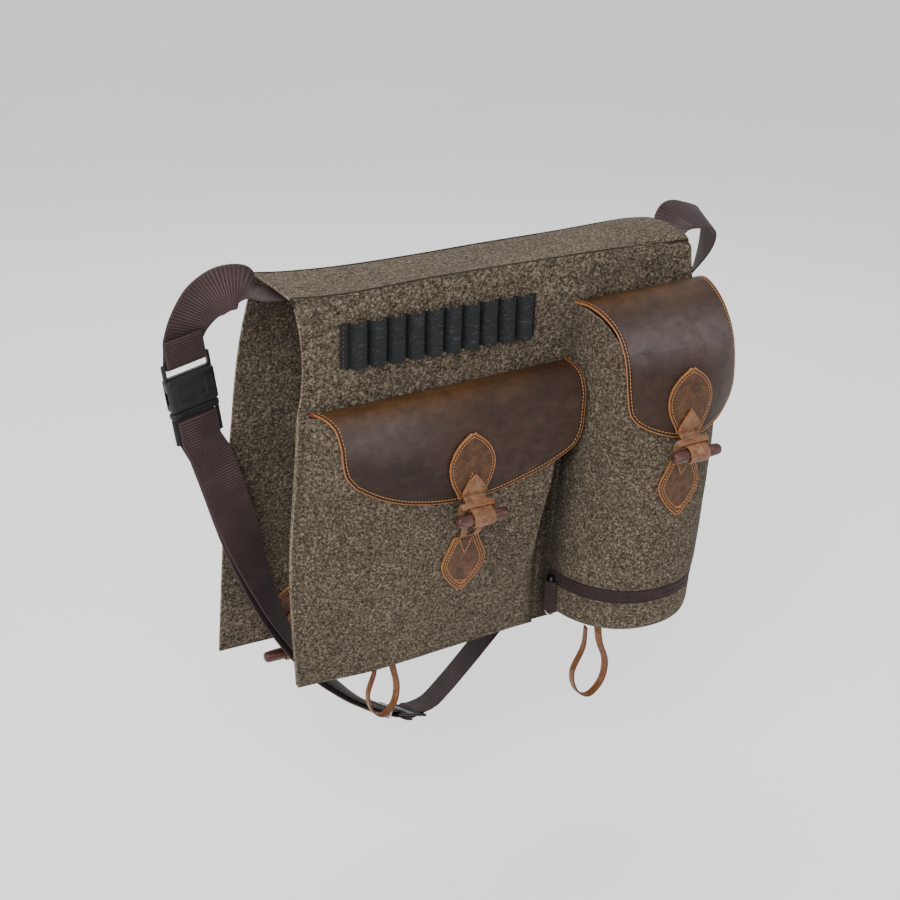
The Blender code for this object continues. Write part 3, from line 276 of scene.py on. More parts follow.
THROUGH_ADJUSTER = [(17.5, 3.1), (12.3, 3.05), (8.2, 0), (4.1, -3.05), (-4.1, -3.05), (-8.2, 0),
                    (-12.3, 3.05), (-17, 2.6)]
UNDER_ADJUSTER = [(-17, -2.9), (-12.7, -2.9), (-8.5, -3.9), (-3.7, -5.4), (3, -5.4)]
SLIDE_RING_PLACE = (-94, 10, -442.2)
SLIDE_RING_TILT = radians(28)
SLIDE_RING_SIZE = (44.6, 9.4)
SLIDE_RING_CORNER = 3.0
WIRE_RADIUS = 1.2
# Faces of moulded parts that are smaller than this, in square metres, belong to rounded edges
EDGE_FACE = 2.5e-5


# Curves through table rows

def cubic(rows, key, column=1):
    """Value of one table column at a key, on a smooth curve through the rows."""
    key = min(max(key, rows[0][0]), rows[-1][0])
    last = len(rows) - 1
    index = 0
    while index < last - 1 and key > rows[index + 1][0]:
        index += 1
    rates = []
    for end in (index, index + 1):
        low = max(end - 1, 0)
        high = min(end + 1, last)
        rates.append((rows[high][column] - rows[low][column]) / (rows[high][0] - rows[low][0]))
    span = rows[index + 1][0] - rows[index][0]
    t = (key - rows[index][0]) / span
    start = rows[index][column]
    stop = rows[index + 1][column]
    return ((2 * t ** 3 - 3 * t ** 2 + 1) * start + (t ** 3 - 2 * t ** 2 + t) * span * rates[0]
            + (3 * t ** 2 - 2 * t ** 3) * stop + (t ** 3 - t ** 2) * span * rates[1])


def ramp(distance, reach):
    """Smooth rise from 0 to 1 over a reach."""
    t = min(max(distance / reach, 0), 1)
    return t * t * (3 - 2 * t)


def mix(low, high, t):
    return low + (high - low) * t


def ripple(x, z, size, seed=0):
    """Soft unevenness between -1 and 1 with dents of about the given size."""
    return noise.noise(Vector((x / size, z / size, seed)))


# Materials

class Surface:
    """Material with its tree, shader, colour and relief so far, and the place on the object in metres."""

    def __init__(self, name, roughness, specular=0.5, metallic=0, sheen=(0, 0.5, (1, 1, 1))):
        self.material = bpy.data.materials.new(name)
        self.material.use_nodes = True
        self.tree = self.material.node_tree
        self.shader = self.tree.nodes["Principled BSDF"]
        settings = {"Roughness": roughness, "Specular IOR Level": specular, "Metallic": metallic,
                    "Sheen Weight": sheen[0], "Sheen Roughness": sheen[1], "Sheen Tint": (*sheen[2], 1)}
        for key, value in settings.items():
            self.shader.inputs[key].default_value = value
        self.place = self.add("TexCoord").outputs["Object"]
        self.colour = self.normal = None

    def add(self, kind, links=None, **settings):
        """Shader node with its settings, and its inputs linked or set."""
        made = self.tree.nodes.new("ShaderNode" + kind)
        for key, value in settings.items():
            setattr(made, key, value)
        for key, value in (links or {}).items():
            if isinstance(value, bpy.types.NodeSocket):
                self.tree.links.new(value, made.inputs[key])
            else:
                made.inputs[key].default_value = value
        return made

    def grain(self, scale, detail=2, roughness=0.5, distortion=0, where=None):
        """Noise value, its scale per metre or per unit of another place."""
        links = {"Vector": where or self.place, "Scale": scale, "Detail": detail, "Roughness": roughness,
                 "Distortion": distortion}
        return self.add("TexNoise", links).outputs["Fac"]

    def curve(self, value, *stops):
        """Value or colour along stops of place and grey or colour."""
        made = self.add("ValToRGB", {"Fac": value})
        marks = made.color_ramp.elements
        while len(marks) < len(stops):
            marks.new(0.5)
        for mark, (place, colour) in zip(marks, stops):
            mark.position = place
            mark.color = (*(colour if isinstance(colour, (tuple, list)) else (colour,) * 3), 1)
        return made.outputs["Color"]

    def mixed(self, share, first, second, mode="MIX"):
        links = {0: share}
        for key, value in ((6, first), (7, second)):
            links[key] = value if isinstance(value, bpy.types.NodeSocket) else (*value, 1)
        return self.add("Mix", links, data_type="RGBA", blend_type=mode).outputs[2]

    def tint(self, share, colour, mode="MIX"):
        """A share of another colour over the colour so far."""
        self.colour = self.mixed(share, self.colour, colour, mode)

    def vary(self, share, value, low, high):
        """Darker and lighter places in the colour so far, between two stops."""
        self.tint(share, self.curve(value, low, high), "MULTIPLY")

    def maths(self, operation, first, second=0):
        return self.add("Math", {0: first, 1: second}, operation=operation).outputs[0]

    def times(self, first, second):
        return self.maths("MULTIPLY", first, second)

    def waves(self, value, pitch):
        return self.maths("SINE", self.times(value, 2 * pi / pitch))

    def look(self, name, output="Fac"):
        """Value that the mesh keeps for each point."""
        return self.add("Attribute", attribute_name=name).outputs[output]

    def depth(self):
        """Distance from the edge in centimetres, as far as a curve reaches."""
        return self.times(self.look("edge"), 0.1)

    def strip(self):
        """How far across and along its strip a place is, in millimetres."""
        return self.add("SeparateXYZ", {"Vector": self.look("strip", "Vector")}).outputs

    def fibres(self, turn, stretch, scale):
        """Thin curved hairs along one direction."""
        links = {"Vector": self.place, "Rotation": turn, "Scale": (scale, scale * stretch, scale * stretch)}
        turned = self.add("Mapping", links).outputs["Vector"]
        return self.curve(self.grain(1, 1.5, 0.5, 0.7, turned), (0.54, 0), (0.64, 1))

    def bump(self, height, distance, strength):
        """Relief from a height, on top of the relief so far."""
        links = {"Height": height, "Distance": distance, "Strength": strength}
        if self.normal:
            links["Normal"] = self.normal
        self.normal = self.add("Bump", links).outputs["Normal"]

    def done(self, roughness=None):
        for key, value in (("Base Color", self.colour), ("Normal", self.normal), ("Roughness", roughness)):
            if value is not None:
                self.tree.links.new(value, self.shader.inputs[key])
        return self.material


def felt_material(name, tone, seam=False):
    """Wool felt of mixed olive and brown fibres. The tone makes it lighter, as on a cut edge.

    The seam gives painted shade: a dark line in the crease along both sewn edges of the saddle.
    """
    felt = Surface(name, 0.95, 0.05, sheen=(0.05, 0.5, (0.8, 0.72, 0.6)))
    clumps = felt.grain(430, 3, 0.75, 0.2)
    stops = [(0.38, (0.010, 0.007, 0.0045)), (0.47, (0.037, 0.0275, 0.0185)), (0.545, (0.068, 0.053, 0.037)),
             (0.65, (0.19, 0.158, 0.118))]
    felt.colour = felt.curve(clumps, *[(key, [tone * value for value in shade]) for key, shade in stops])
    felt.vary(0.5, felt.grain(95), (0.3, 0.5), (0.7, 1.3))
    felt.vary(0.4, felt.grain(14), (0.3, 0.65), (0.7, 1.2))
    light = [tone * value for value in (0.21, 0.178, 0.133)]
    dark = (0.008, 0.0055, 0.004)
    turns = [(0.3, 0.5, 0.4), (1.2, 0.2, 2.1), (0.6, 2.2, 1.1), (2, 1.1, 0.4)]
    hairs = [felt.fibres(turn, 4, 330 + 40 * index) for index, turn in enumerate(turns)]
    for hair, shade in zip(hairs, (light, dark, light, dark)):
        felt.tint(felt.times(hair, 0.3), shade)
    groove = felt.curve(felt.depth(), (0.22, 1), (0.33, 0), (0.38, 0), (0.5, 1))
    felt.tint(felt.times(felt.maths("SUBTRACT", 1, groove), 0.25), (0.03, 0.022, 0.016))
    if seam:
        # painted shade in the crease along the saddle's sewn edges, near its top
        axes = felt.add("SeparateXYZ", {"Vector": felt.place}).outputs
        near = felt.times(felt.maths("ABSOLUTE", axes["Y"]), 20)
        near = felt.curve(near, (0.706, 0), (0.724, 0.92), (0.85, 0.92))
        felt.tint(felt.times(near, felt.maths("GREATER_THAN", axes["Z"], -0.006)), (0.009, 0.006, 0.0045))
    felt.tint(felt.times(felt.look("shade"), 0.9), (0.006, 0.0045, 0.0035))
    felt.bump(groove, 0.0005, 0.4)
    felt.bump(clumps, 0.0012, 0.7)
    for hair in hairs[:3]:
        felt.bump(hair, 0.0003, 0.35)
    return felt.done()


def leather_material():
    """Waxed pull-up leather, golden where it bends, painted grey sheen in places, dark at its stitching."""
    hide = Surface("waxed_leather", 0.5, 0.22)
    mottle = hide.grain(70, 4, 0.65, 0.6)
    hide.colour = hide.curve(hide.grain(11, 3, 0.55, 0.6), (0.3, (0.0145, 0.0062, 0.0038)),
                             (0.52, (0.0225, 0.0098, 0.0058)), (0.72, (0.036, 0.0172, 0.0098)))
    hide.vary(0.6, mottle, (0.3, (0.5, 0.46, 0.44)), (0.72, (1.4, 1.36, 1.28)))
    # painted grey reflection of the lamps on the wax, in mottled patches
    painted_reflection = hide.curve(mottle, (0.28, 0.45), (0.66, 1))
    hide.tint(hide.times(hide.look("painted_reflection"), painted_reflection), (0.07, 0.055, 0.053))
    golden = hide.curve(mottle, (0.25, 0.3), (0.7, 1))
    hide.tint(hide.times(hide.look("fold"), golden), (0.078, 0.036, 0.0105))
    hide.tint(hide.times(hide.fibres((0.4, 0.2, 0.9), 3, 45), 0.1), (0.07, 0.04, 0.022))
    depth = hide.depth()
    hide.tint(hide.curve(depth, (0, 1), (0.07, 0.9), (0.12, 0)), (0.26, 0.098, 0.025))
    line = hide.curve(depth, (0.1, 0), (0.14, 1), (0.2, 1), (0.24, 0.35), (0.28, 1), (0.38, 1), (0.48, 0))
    hide.tint(hide.times(line, 0.85), (0.009, 0.004, 0.0025))
    channel = hide.curve(depth, (0.2, 0), (0.27, 1), (0.38, 1), (0.46, 0))
    hide.bump(hide.maths("SUBTRACT", 1, channel), 0.0006, 0.9)
    hide.bump(hide.add("TexVoronoi", {"Vector": hide.place, "Scale": 900}).outputs["Distance"], 0.00012, 0.3)
    hide.bump(hide.grain(420, 3, 0.6), 0.0002, 0.3)
    hide.bump(mottle, 0.0009, 0.35)
    return hide.done(hide.curve(mottle, (0.2, 0.6), (0.8, 0.42)))


def tab_material(name, base, worn, edge, sewn=0.75):
    """Leather of the small tabs, wraps and loops, with a paler worn grain and an edge of its own colour.

    The share sewn says how dark and deep the line of the stitches is.
    """
    tab = Surface(name, 0.52, 0.25)
    mottle = tab.grain(130, 4, 0.65, 0.8)
    between = [mix(low, high, 0.45) for low, high in zip(base, worn)]
    tab.colour = tab.curve(mottle, (0.3, base), (0.55, between), (0.74, worn))
    tab.vary(0.4, tab.grain(38), (0.3, 0.55), (0.7, 1.15))
    depth = tab.depth()
    tab.tint(tab.curve(depth, (0, 1), (0.06, 0.85), (0.11, 0)), edge)
    channel = tab.curve(depth, (0.18, 0), (0.24, 1), (0.34, 1), (0.4, 0))
    tab.tint(tab.times(channel, sewn), (0.01, 0.004, 0.002))
    tab.bump(tab.maths("SUBTRACT", 1, channel), 0.0005, sewn)
    tab.bump(mottle, 0.0008, 0.5)
    tab.bump(tab.grain(700, 3, 0.6), 0.0002, 0.4)
    return tab.done(tab.curve(mottle, (0.2, 0.62), (0.8, 0.44)))


def plain_material(name, settings, noise, stops, relief=None, shine=None):
    """Material of one noise: colours along its stops, and its relief and roughness where they are given."""
    plain = Surface(name, *settings)
    value = plain.grain(*noise)
    plain.colour = plain.curve(value, *stops)
    if relief:
        plain.bump(value, *relief)
    return plain.done(plain.curve(value, *shine) if shine else None)


def thread_material(name, colour, dark):
    """Waxed thread with the twist of its plies."""
    thread = Surface(name, 0.6, 0.35)
    plies = thread.add("TexWave", {"Vector": thread.place, "Scale": 700, "Distortion": 1},
                       bands_direction="DIAGONAL").outputs["Fac"]
    thread.colour = thread.mixed(plies, dark, colour)
    thread.bump(plies, 0.0001, 0.6)
    return thread.done()


def web_material():
    """Woven webbing: ribs across the strap, lit in patches, fine yarns along them and plain selvedges."""
    web = Surface("strap_webbing", 0.7, 0.2, sheen=(0.04, 0.4, (0.7, 0.6, 0.6)))
    across, along, _ = web.strip()
    ribs = web.waves(along, RIB_PITCH)
    weave = web.maths("ADD", web.times(ribs, 0.13), web.times(web.waves(across, YARN_PITCH), 0.2))
    weave = web.maths("ADD", weave, 0.5)
    fuzz = web.grain(900, 3, 0.6)
    patches = web.grain(26)
    web.colour = web.curve(weave, (0.1, (0.008, 0.0042, 0.0041)), (0.5, (0.0235, 0.0127, 0.0126)),
                           (0.9, (0.066, 0.038, 0.038)))
    web.vary(0.5, fuzz, (0.3, 0.5), (0.7, 1.3))
    web.vary(0.35, patches, (0.3, 0.6), (0.7, 1.25))
    lit = web.times(web.curve(ribs, (0.55, 0), (0.95, 1)), web.curve(patches, (0.46, 0), (0.64, 0.42)))
    web.tint(lit, (0.13, 0.09, 0.085))
    selvedge = web.maths("GREATER_THAN", web.maths("ABSOLUTE", across), WEB_WIDTH / 2 - 1.6)
    web.tint(web.times(selvedge, 0.5), (0.042, 0.027, 0.027))
    web.bump(weave, 0.0006, 0.8)
    web.bump(fuzz, 0.0003, 0.4)
    return web.done()


def elastic_material():
    """Black ribbed elastic, diagonal weave, painted shade between the loops, painted highlights on them."""
    elastic = Surface("cartridge_elastic", 0.72, 0.15, sheen=(0.03, 0.4, (0.6, 0.7, 0.75)))
    across, along, _ = elastic.strip()
    twill = elastic.waves(elastic.maths("ADD", across, elastic.times(along, 0.8)), 2.2)
    ribs = elastic.waves(along, 1.1)
    weave = elastic.maths("ADD", elastic.times(twill, 0.14), elastic.times(ribs, 0.14))
    weave = elastic.maths("ADD", weave, 0.5)
    fuzz = elastic.grain(800, 3, 0.6)
    sheen_creases = elastic.fibres((0, 0.7, 0.1), 4, 110)
    elastic.colour = elastic.curve(weave, (0.15, (0.0032, 0.0035, 0.0038)), (0.55, (0.0088, 0.0094, 0.0098)),
                                   (0.85, (0.024, 0.0255, 0.0265)))
    # painted sheen along the diagonal creases, which also give the relief below
    elastic.tint(elastic.times(sheen_creases, 0.5), (0.03, 0.033, 0.034))
    elastic.vary(0.6, fuzz, (0.3, 0.5), (0.7, 1.5))
    # painted shade in the valleys between the loops
    elastic.tint(elastic.times(elastic.look("painted_valley_shade"), 0.9), (0.0018, 0.0018, 0.002))
    # painted highlight along each loop, just left of its valley
    elastic.tint(elastic.times(elastic.look("painted_crest_highlight"), 0.6), (0.05, 0.055, 0.057))
    elastic.bump(weave, 0.0004, 0.7)
    elastic.bump(sheen_creases, 0.0012, 0.7)
    elastic.bump(fuzz, 0.0002, 0.5)
    return elastic.done()


def tape_material():
    """Woven zip tape, dark purple brown."""
    tape = Surface("zip_fabric", 0.75, 0.15, sheen=(0.04, 0.4, (0.7, 0.55, 0.6)))
    weave = tape.grain(1100)
    tape.colour = tape.curve(weave, (0.3, (0.009, 0.0046, 0.0046)), (0.7, (0.034, 0.0195, 0.0195)))
    tape.vary(0.5, tape.grain(90), (0.3, 0.6), (0.7, 1.2))
    tape.bump(weave, 0.0003, 0.6)
    return tape.done()


def toggle_material():
    """Dark reddish horn with streaks along the toggle."""
    horn = Surface("toggle_horn", 0.4, 0.3)
    drawn = horn.add("Mapping", {"Vector": horn.place, "Scale": (60, 420, 420)}).outputs["Vector"]
    streaks = horn.grain(1, 4, 0.6, 0.6, drawn)
    horn.colour = horn.curve(streaks, (0.28, (0.009, 0.003, 0.0024)), (0.5, (0.047, 0.0155, 0.0115)),
                             (0.75, (0.13, 0.057, 0.038)))
    horn.vary(0.3, horn.grain(600), (0.3, 0.6), (0.7, 1.2))
    horn.bump(streaks, 0.0004, 0.5)
    return horn.done(horn.curve(streaks, (0.3, 0.34), (0.7, 0.5)))


def plastic_material():
    """Moulded black plastic with a fine spark texture."""
    plastic = Surface("moulded_plastic", 0.42, 0.28)
    wear = plastic.grain(70, 3)
    plastic.colour = plastic.curve(wear, (0.3, (0.004, 0.004, 0.0044)), (0.75, (0.011, 0.011, 0.012)))
    plastic.bump(plastic.grain(1600), 0.0001, 0.5)
    return plastic.done(plastic.curve(wear, (0.3, 0.36), (0.7, 0.5)))


def steel_material(name, tone):
    stops = [(0.3, tone), (0.7, 1.7 * tone)]
    return plain_material(name, (0.3, 0.5, 1), (300, 3), stops, (0.0001, 0.3), [(0.3, 0.22), (0.7, 0.4)])


# Meshes

def frame_at(place, *turns):
    """Frame at a place in millimetres, turned about its own axes one after another."""
    frame = Matrix.Translation(Vector(place) * MM)
    for angle, axis in turns:
        frame = frame @ Matrix.Rotation(angle, 4, axis)
    return frame


def placed(name, data):
    """Object with its data, in the scene."""
    item = bpy.data.objects.new(name, data)
    bpy.context.scene.collection.objects.link(item)
    return item


def put(name, vertices, faces, materials, attributes=None):
    """Smooth object from points in millimetres, with a value or a place kept for each point."""
    mesh = bpy.data.meshes.new(name)
    mesh.from_pydata([tuple(value * MM for value in point) for point in vertices], [], faces)
    for one in materials:
        mesh.materials.append(MATERIALS[one])
    for key, values in (attributes or {}).items():
        if isinstance(values[0], tuple):
            flat = [number for row in values for number in row]
            mesh.attributes.new(key, "FLOAT_VECTOR", "POINT").data.foreach_set("vector", flat)
        else:
            mesh.attributes.new(key, "FLOAT", "POINT").data.foreach_set("value", values)
    mesh.shade_smooth()
    return placed(name, mesh)


def worn_by(item, slot, *nodes):
    """The piece rides on the bag and stands for the nodes."""
    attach(item, BODY)
    if nodes:
        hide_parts(*nodes)
    return item


def grid_faces(columns, rows):
    faces = []
    for row in range(rows):
        for column in range(columns):
            corner = row * (columns + 1) + column
            faces.append((corner, corner + columns + 1, corner + columns + 2, corner + 1))
    return faces


def ring_faces(rings, sides, first=0, closed=False):
    """Faces between rows of points that go round. Closed means that the last row joins the first."""
    faces = []
    for ring in range(rings if closed else rings - 1):
        step = ((ring + 1) % rings - ring) * sides
        for side in range(sides):
            here = first + ring * sides + side
            after = first + ring * sides + (side + 1) % sides
            faces.append((here, after, after + step, here + step))
    return faces


def end_faces(rings, sides, first=0):
    """Flat ends of rows of points that go round."""
    last = first + (rings - 1) * sides
    return [tuple(range(first + sides - 1, first - 1, -1)), tuple(range(last, last + sides))]


def search_tree(points):
    tree = kdtree.KDTree(len(points))
    for index, place in enumerate(points):
        tree.insert(place, index)
    tree.balance()
    return tree


def distances(vertices, rim, far=50):
    """Distance of each point from a line of points, in millimetres."""
    if not rim:
        return [far] * len(vertices)
    tree = search_tree(rim)
    return [min(tree.find(point)[2], far) for point in vertices]


def shell(name, point, columns, rows, thickness, materials, rim=(), radius=0.6, looks=None):
    """Soft sheet with thickness and rounded edges. Its last material is for the cut edge.

    The looks are shares of colour, each a function of the place on the sheet.
    """
    places = [(column / columns, row / rows) for row in range(rows + 1) for column in range(columns + 1)]
    vertices = [tuple(point(u, v)) for u, v in places]
    values = {"edge": distances(vertices, rim)}
    for key, share in (looks or {}).items():
        values[key] = [share(u, v) for u, v in places]
    item = put(name, vertices, grid_faces(columns, rows), materials, values)
    thicken(item, thickness, len(materials) - 1, radius)
    return item


def thicken(item, thickness, rim_material, radius):
    solid = item.modifiers.new("Thickness", "SOLIDIFY")
    solid.thickness = thickness * MM
    solid.offset = -1
    solid.use_even_offset = True
    solid.material_offset_rim = rim_material
    soften(item, radius, 3, 50)


def soften(item, radius, segments, angle=30):
    """Rounded edges where two faces meet at more than the angle in degrees."""
    rounded = item.modifiers.new("Rounded edges", "BEVEL")
    rounded.width = radius * MM
    rounded.segments = segments
    rounded.limit_method = "ANGLE"
    rounded.angle_limit = radians(angle)


def border(point, sides, steps=160):
    """Places (u, v) and points along sides of a surface: each side is a start and an end place."""
    places = []
    for start, stop in sides:
        for step in range(steps + 1):
            t = step / steps
            places.append((mix(start[0], stop[0], t), mix(start[1], stop[1], t)))
    return places, [Vector(point(u, v)) for u, v in places]


def slopes(point, u, v, step=0.002):
    """Directions of a surface along u and v."""
    low_u, high_u = max(u - step, 0), min(u + step, 1)
    low_v, high_v = max(v - step, 0), min(v + step, 1)
    along_u = (Vector(point(high_u, v)) - Vector(point(low_u, v))) / (high_u - low_u)
    along_v = (Vector(point(u, high_v)) - Vector(point(u, low_v))) / (high_v - low_v)
    return along_u, along_v


def moved(point, u, v, travel):
    """Place on a surface after a small move in space."""
    along_u, along_v = slopes(point, u, v)
    uu, uv, vv = along_u.dot(along_u), along_u.dot(along_v), along_v.dot(along_v)
    whole = max(uu * vv - uv * uv, 1e-6)
    right_u, right_v = along_u.dot(travel), along_v.dot(travel)
    new_u = u + (right_u * vv - right_v * uv) / whole
    new_v = v + (right_v * uu - right_u * uv) / whole
    return min(max(new_u, 0), 1), min(max(new_v, 0), 1)


def inset(point, sides, distance):
    """Places and outward normals on a surface at a distance inside its border."""
    places, rim = border(point, sides)
    tree = search_tree(rim)
    found = []
    last = len(rim) - 1
    for index, (u, v) in enumerate(places):
        travel = rim[min(index + 2, last)] - rim[max(index - 2, 0)]
        along_u, along_v = slopes(point, u, v)
        inward = travel.cross(along_v.cross(along_u)).normalized() * distance
        if inward.dot(along_u * (0.5 - u) + along_v * (0.5 - v)) < 0:
            inward = -inward
        for _ in range(INSET_STEPS):
            u, v = moved(point, u, v, inward)
            place = Vector(point(u, v))
            nearest, _, actual = tree.find(place)
            if abs(actual / distance - 1) < INSET_CLOSE:
                break
            inward = (place - nearest).normalized() * (distance - actual)
        if abs(actual / distance - 1) > INSET_OFF:
            continue
        along_u, along_v = slopes(point, u, v)
        found.append((place, along_v.cross(along_u).normalized()))
    return found


def line_on(point, corners, steps=40):
    """Places and outward normals along straight lines in (u, v)."""
    found = []
    for start, stop in zip(corners, corners[1:]):
        for step in range(steps + 1):
            t = step / steps
            u, v = mix(start[0], stop[0], t), mix(start[1], stop[1], t)
            along_u, along_v = slopes(point, u, v)
            found.append((Vector(point(u, v)), along_v.cross(along_u).normalized()))
    return found


def stitches(name, paths, size, thread, slant=6, sink=0.15):
    """Row of single stitches of a pitch, length and radius along paths of places and outward normals."""
    vertices, faces = [], []
    pitch, length, radius = size
    turn = radians(slant)
    for path in paths:
        travelled = pitch / 2
        for (start, normal), (stop, _) in zip(path, path[1:]):
            span = (stop - start).length
            if span > STITCH_GAP * pitch:
                continue
            while travelled < span:
                centre = start.lerp(stop, travelled / span)
                along = (stop - start).normalized()
                side = normal.cross(along).normalized()
                along = (along * cos(turn) + side * sin(turn)).normalized()
                side = normal.cross(along)
                first = len(vertices)
                for share, swell, lift in STITCH_RINGS:
                    middle = centre + along * length * share + normal * (radius * (lift - sink))
                    for corner in range(STITCH_SIDES):
                        angle = 2 * pi * corner / STITCH_SIDES
                        vertices.append(middle + (side * cos(angle) + normal * sin(angle)) * radius * swell)
                faces += ring_faces(len(STITCH_RINGS), STITCH_SIDES, first)
                faces += end_faces(len(STITCH_RINGS), STITCH_SIDES, first)
                travelled += pitch
            travelled -= span
    return put(name, vertices, faces, [thread])


# Strips

def samples(rows, steps):
    """Values on a smooth curve through table rows, with steps between each two."""
    keyed = [(index, *row) for index, row in enumerate(rows)]
    columns = range(1, len(keyed[0]))
    count = (len(rows) - 1) * steps
    return [[cubic(keyed, index / steps, column) for column in columns] for index in range(count + 1)]


def stations_of(rows, width):
    """Stations of a strip from rows of point and width direction."""
    stations = []
    for index, values in enumerate(rows):
        before = Vector(rows[max(index - 1, 0)][:3])
        behind = Vector(rows[min(index + 1, len(rows) - 1)][:3])
        travel = (behind - before).normalized()
        across = Vector(values[3:])
        across = (across - travel * across.dot(travel)).normalized()
        stations.append((Vector(values[:3]), across * width / 2, across.cross(travel)))
    return stations


def strip_stations(rows, steps, width):
    return stations_of(samples(rows, steps), width)


def shift(stations, distance, sag=0):
    """Stations moved along their normals, further in the middle by the sag."""
    last = len(stations) - 1
    return [(middle + normal * (distance + sag * sin(pi * index / last)), across, normal)
            for index, (middle, across, normal) in enumerate(stations)]


def ribbon(name, stations, thickness, material):
    """Strip with rounded long edges. Each point keeps how far across and along the strip it is."""
    outline = SECTION + [(-across, -up) for across, up in SECTION]
    vertices, places, edges = [], [], []
    travelled = 0
    for index, (middle, across, normal) in enumerate(stations):
        if index:
            travelled += (middle - stations[index - 1][0]).length
        half = across.length
        for share, up in outline:
            vertices.append(middle + across * share + normal * (up * thickness / 2))
            places.append((share * half, travelled, 0))
            edges.append(half * (1 - abs(share)))
    size = (len(stations), len(outline))
    faces = ring_faces(*size) + end_faces(*size)
    item = put(name, vertices, faces, [material], {"strip": places, "edge": edges})
    outward(item)
    return item


def outward(item):
    shape = bmesh.new()
    shape.from_mesh(item.data)
    bmesh.ops.recalc_face_normals(shape, faces=shape.faces)
    shape.to_mesh(item.data)
    shape.free()


# Felt body

def felt_sheet(name, node, point, size, rim=(), radius=0.9, shade=None, face="felt"):
    """Felt piece with its columns and rows, and where it is shaded."""
    looks = {"shade": shade} if shade else None
    worn_by(shell(name, point, *size, FELT, [face, "felt_edge"], rim, radius, looks), "felt", node)


def front_face(x, z):
    """Y of the front panel's outer face."""
    drop = min(max(-z / FRONT_LENGTH, 0), 1)
    return -HALF_WIDTH - cubic(FRONT_BULGE, x) * drop ** 1.5


def corner_share(x):
    """How far the saddle's front corner is rounded instead of creased."""
    return ramp(x - 95, 95)


def saddle_top():
    reach = HALF_WIDTH - FELT - GAP

    def point(u, v):
        x = mix(-HALF_LENGTH, HALF_LENGTH, u)
        y = mix(reach, -reach, v)
        seams = mix(cubic(BACK_SEAM, x), cubic(FRONT_SEAM, x), v)
        rise = cubic(SADDLE_ARCH, x) * (1 - (y / HALF_WIDTH) ** 2)
        inside = ramp(reach - abs(y), 12)
        near = max(-y - (HALF_WIDTH - CORNER), 0)
        fall = CORNER - sqrt(CORNER ** 2 - min(near, CORNER * 0.7) ** 2)
        dents = DENT * (ripple(x, y, 42, 3.1) + 0.5 * ripple(x, y, 17, 8.3)) * inside
        return x, y, FELT + seams + rise - fall * corner_share(x) + dents

    _, rim = border(point, [((0, 0), (0, 1)), ((1, 0), (1, 1))])
    felt_sheet("felt_saddle", "saddle_top", point, (150, 40), rim, 1.3, face="saddle_felt")


def dented(x, z):
    """Dents of the front that all its layers share."""
    calm = ramp(-z, 30)
    return DENT * calm * (ripple(x, z, 70, 1.7) + 0.45 * ripple(x, z, 26, 5.9))


def front_panel():
    def point(u, v):
        drop = FRONT_LENGTH * v
        x = mix(cubic(FRONT_LEFT_EDGE, drop), cubic(FRONT_RIGHT_EDGE, drop), u)
        z = FELT + cubic(FRONT_SEAM, x) * (1 - v) - drop
        near = max(z + CORNER - FELT, 0)
        back = (CORNER - sqrt(CORNER ** 2 - min(near, CORNER * 0.8) ** 2)) * corner_share(x)
        return x, front_face(x, z) + dented(x, z) + back, z - 0.3 * back

    def shade(u, v):
        x, _, z = point(u, v)
        return 0.8 * (1 - ramp(abs(x - SHADE_X), 17)) * ramp(SHADE_TOP - z, 50)

    felt_sheet("felt_front", "front_panel", point, (180, 140), shade=shade)


def back_face(drop):
    return HALF_WIDTH + cubic(BACK_STANDOFF, drop)


def back_panel():
    def point(u, v):
        drop = BACK_LENGTH * v
        x = mix(cubic(BACK_RIGHT_EDGE, drop), cubic(BACK_LEFT_EDGE, drop), u)
        z = FELT + cubic(BACK_SEAM, x) * (1 - v) - drop
        dents = 1.2 * ramp(drop, 40) * ripple(x, z, 80, 12)
        return x, back_face(drop) + dents, z

    felt_sheet("felt_back", "back_panel", point, (150, 140))


# Flat pocket and its flap

def flap_line(x):
    """Height of the flat flap's sewn line."""
    left, right = FLAP_LEFT_EDGE[0][1], FLAP_RIGHT_EDGE[0][1]
    return mix(FLAP_TOP_LEFT, FLAP_TOP_RIGHT, (x - left) / (right - left))


def pocket_face(x, z):
    """Y of the flat pocket's outer face."""
    left = cubic(FRONT_LEFT_EDGE, -z)
    right = cubic(POCKET_RIGHT_EDGE, z)
    roll = min(ramp(x - left - 4, POCKET_LEFT_ROLL), ramp(right - x - 3, POCKET_RIGHT_ROLL))
    depth = min(cubic(POCKET_DEPTH, z), cubic(POCKET_SHOULDER, flap_line(x) - z))
    return front_face(x, z) + dented(x, z) - FELT - GAP - depth * roll


def flat_pocket():
    bottom = FELT - FRONT_LENGTH

    def point(u, v):
        eased = u - 0.1 * sin(2 * pi * u)
        z = mix(mix(FLAP_TOP_LEFT, FLAP_TOP_RIGHT, u) - POCKET_MOUTH_DROP, bottom, v ** 1.4)
        left = cubic(FRONT_LEFT_EDGE, FELT - z)
        x = mix(left, cubic(POCKET_RIGHT_EDGE, z), eased)
        return x, pocket_face(x, z), z

    def shade(u, v):
        x, _, z = point(u, v)
        return 0.75 * (1 - ramp(cubic(POCKET_RIGHT_EDGE, z) - x, 9))

    _, rim = border(point, FLAP_SIDES)
    felt_sheet("felt_flat_pocket", "flat_pocket", point, (150, 150), rim, shade=shade)
    line = inset(point, FLAP_SIDES, 3.5)
    worn_by(stitches("flat_pocket_seam", [line], POCKET_STITCH, "brown_thread", 0, 0.7), "felt")


def flap_front(x, z):
    """Y of the flap's outer face where it lies on the pocket."""
    below = min(z, FULL_DEPTH_BELOW)
    return front_face(x, z) + dented(x, z) - FELT - cubic(POCKET_DEPTH, below) - LEATHER - 3 * GAP


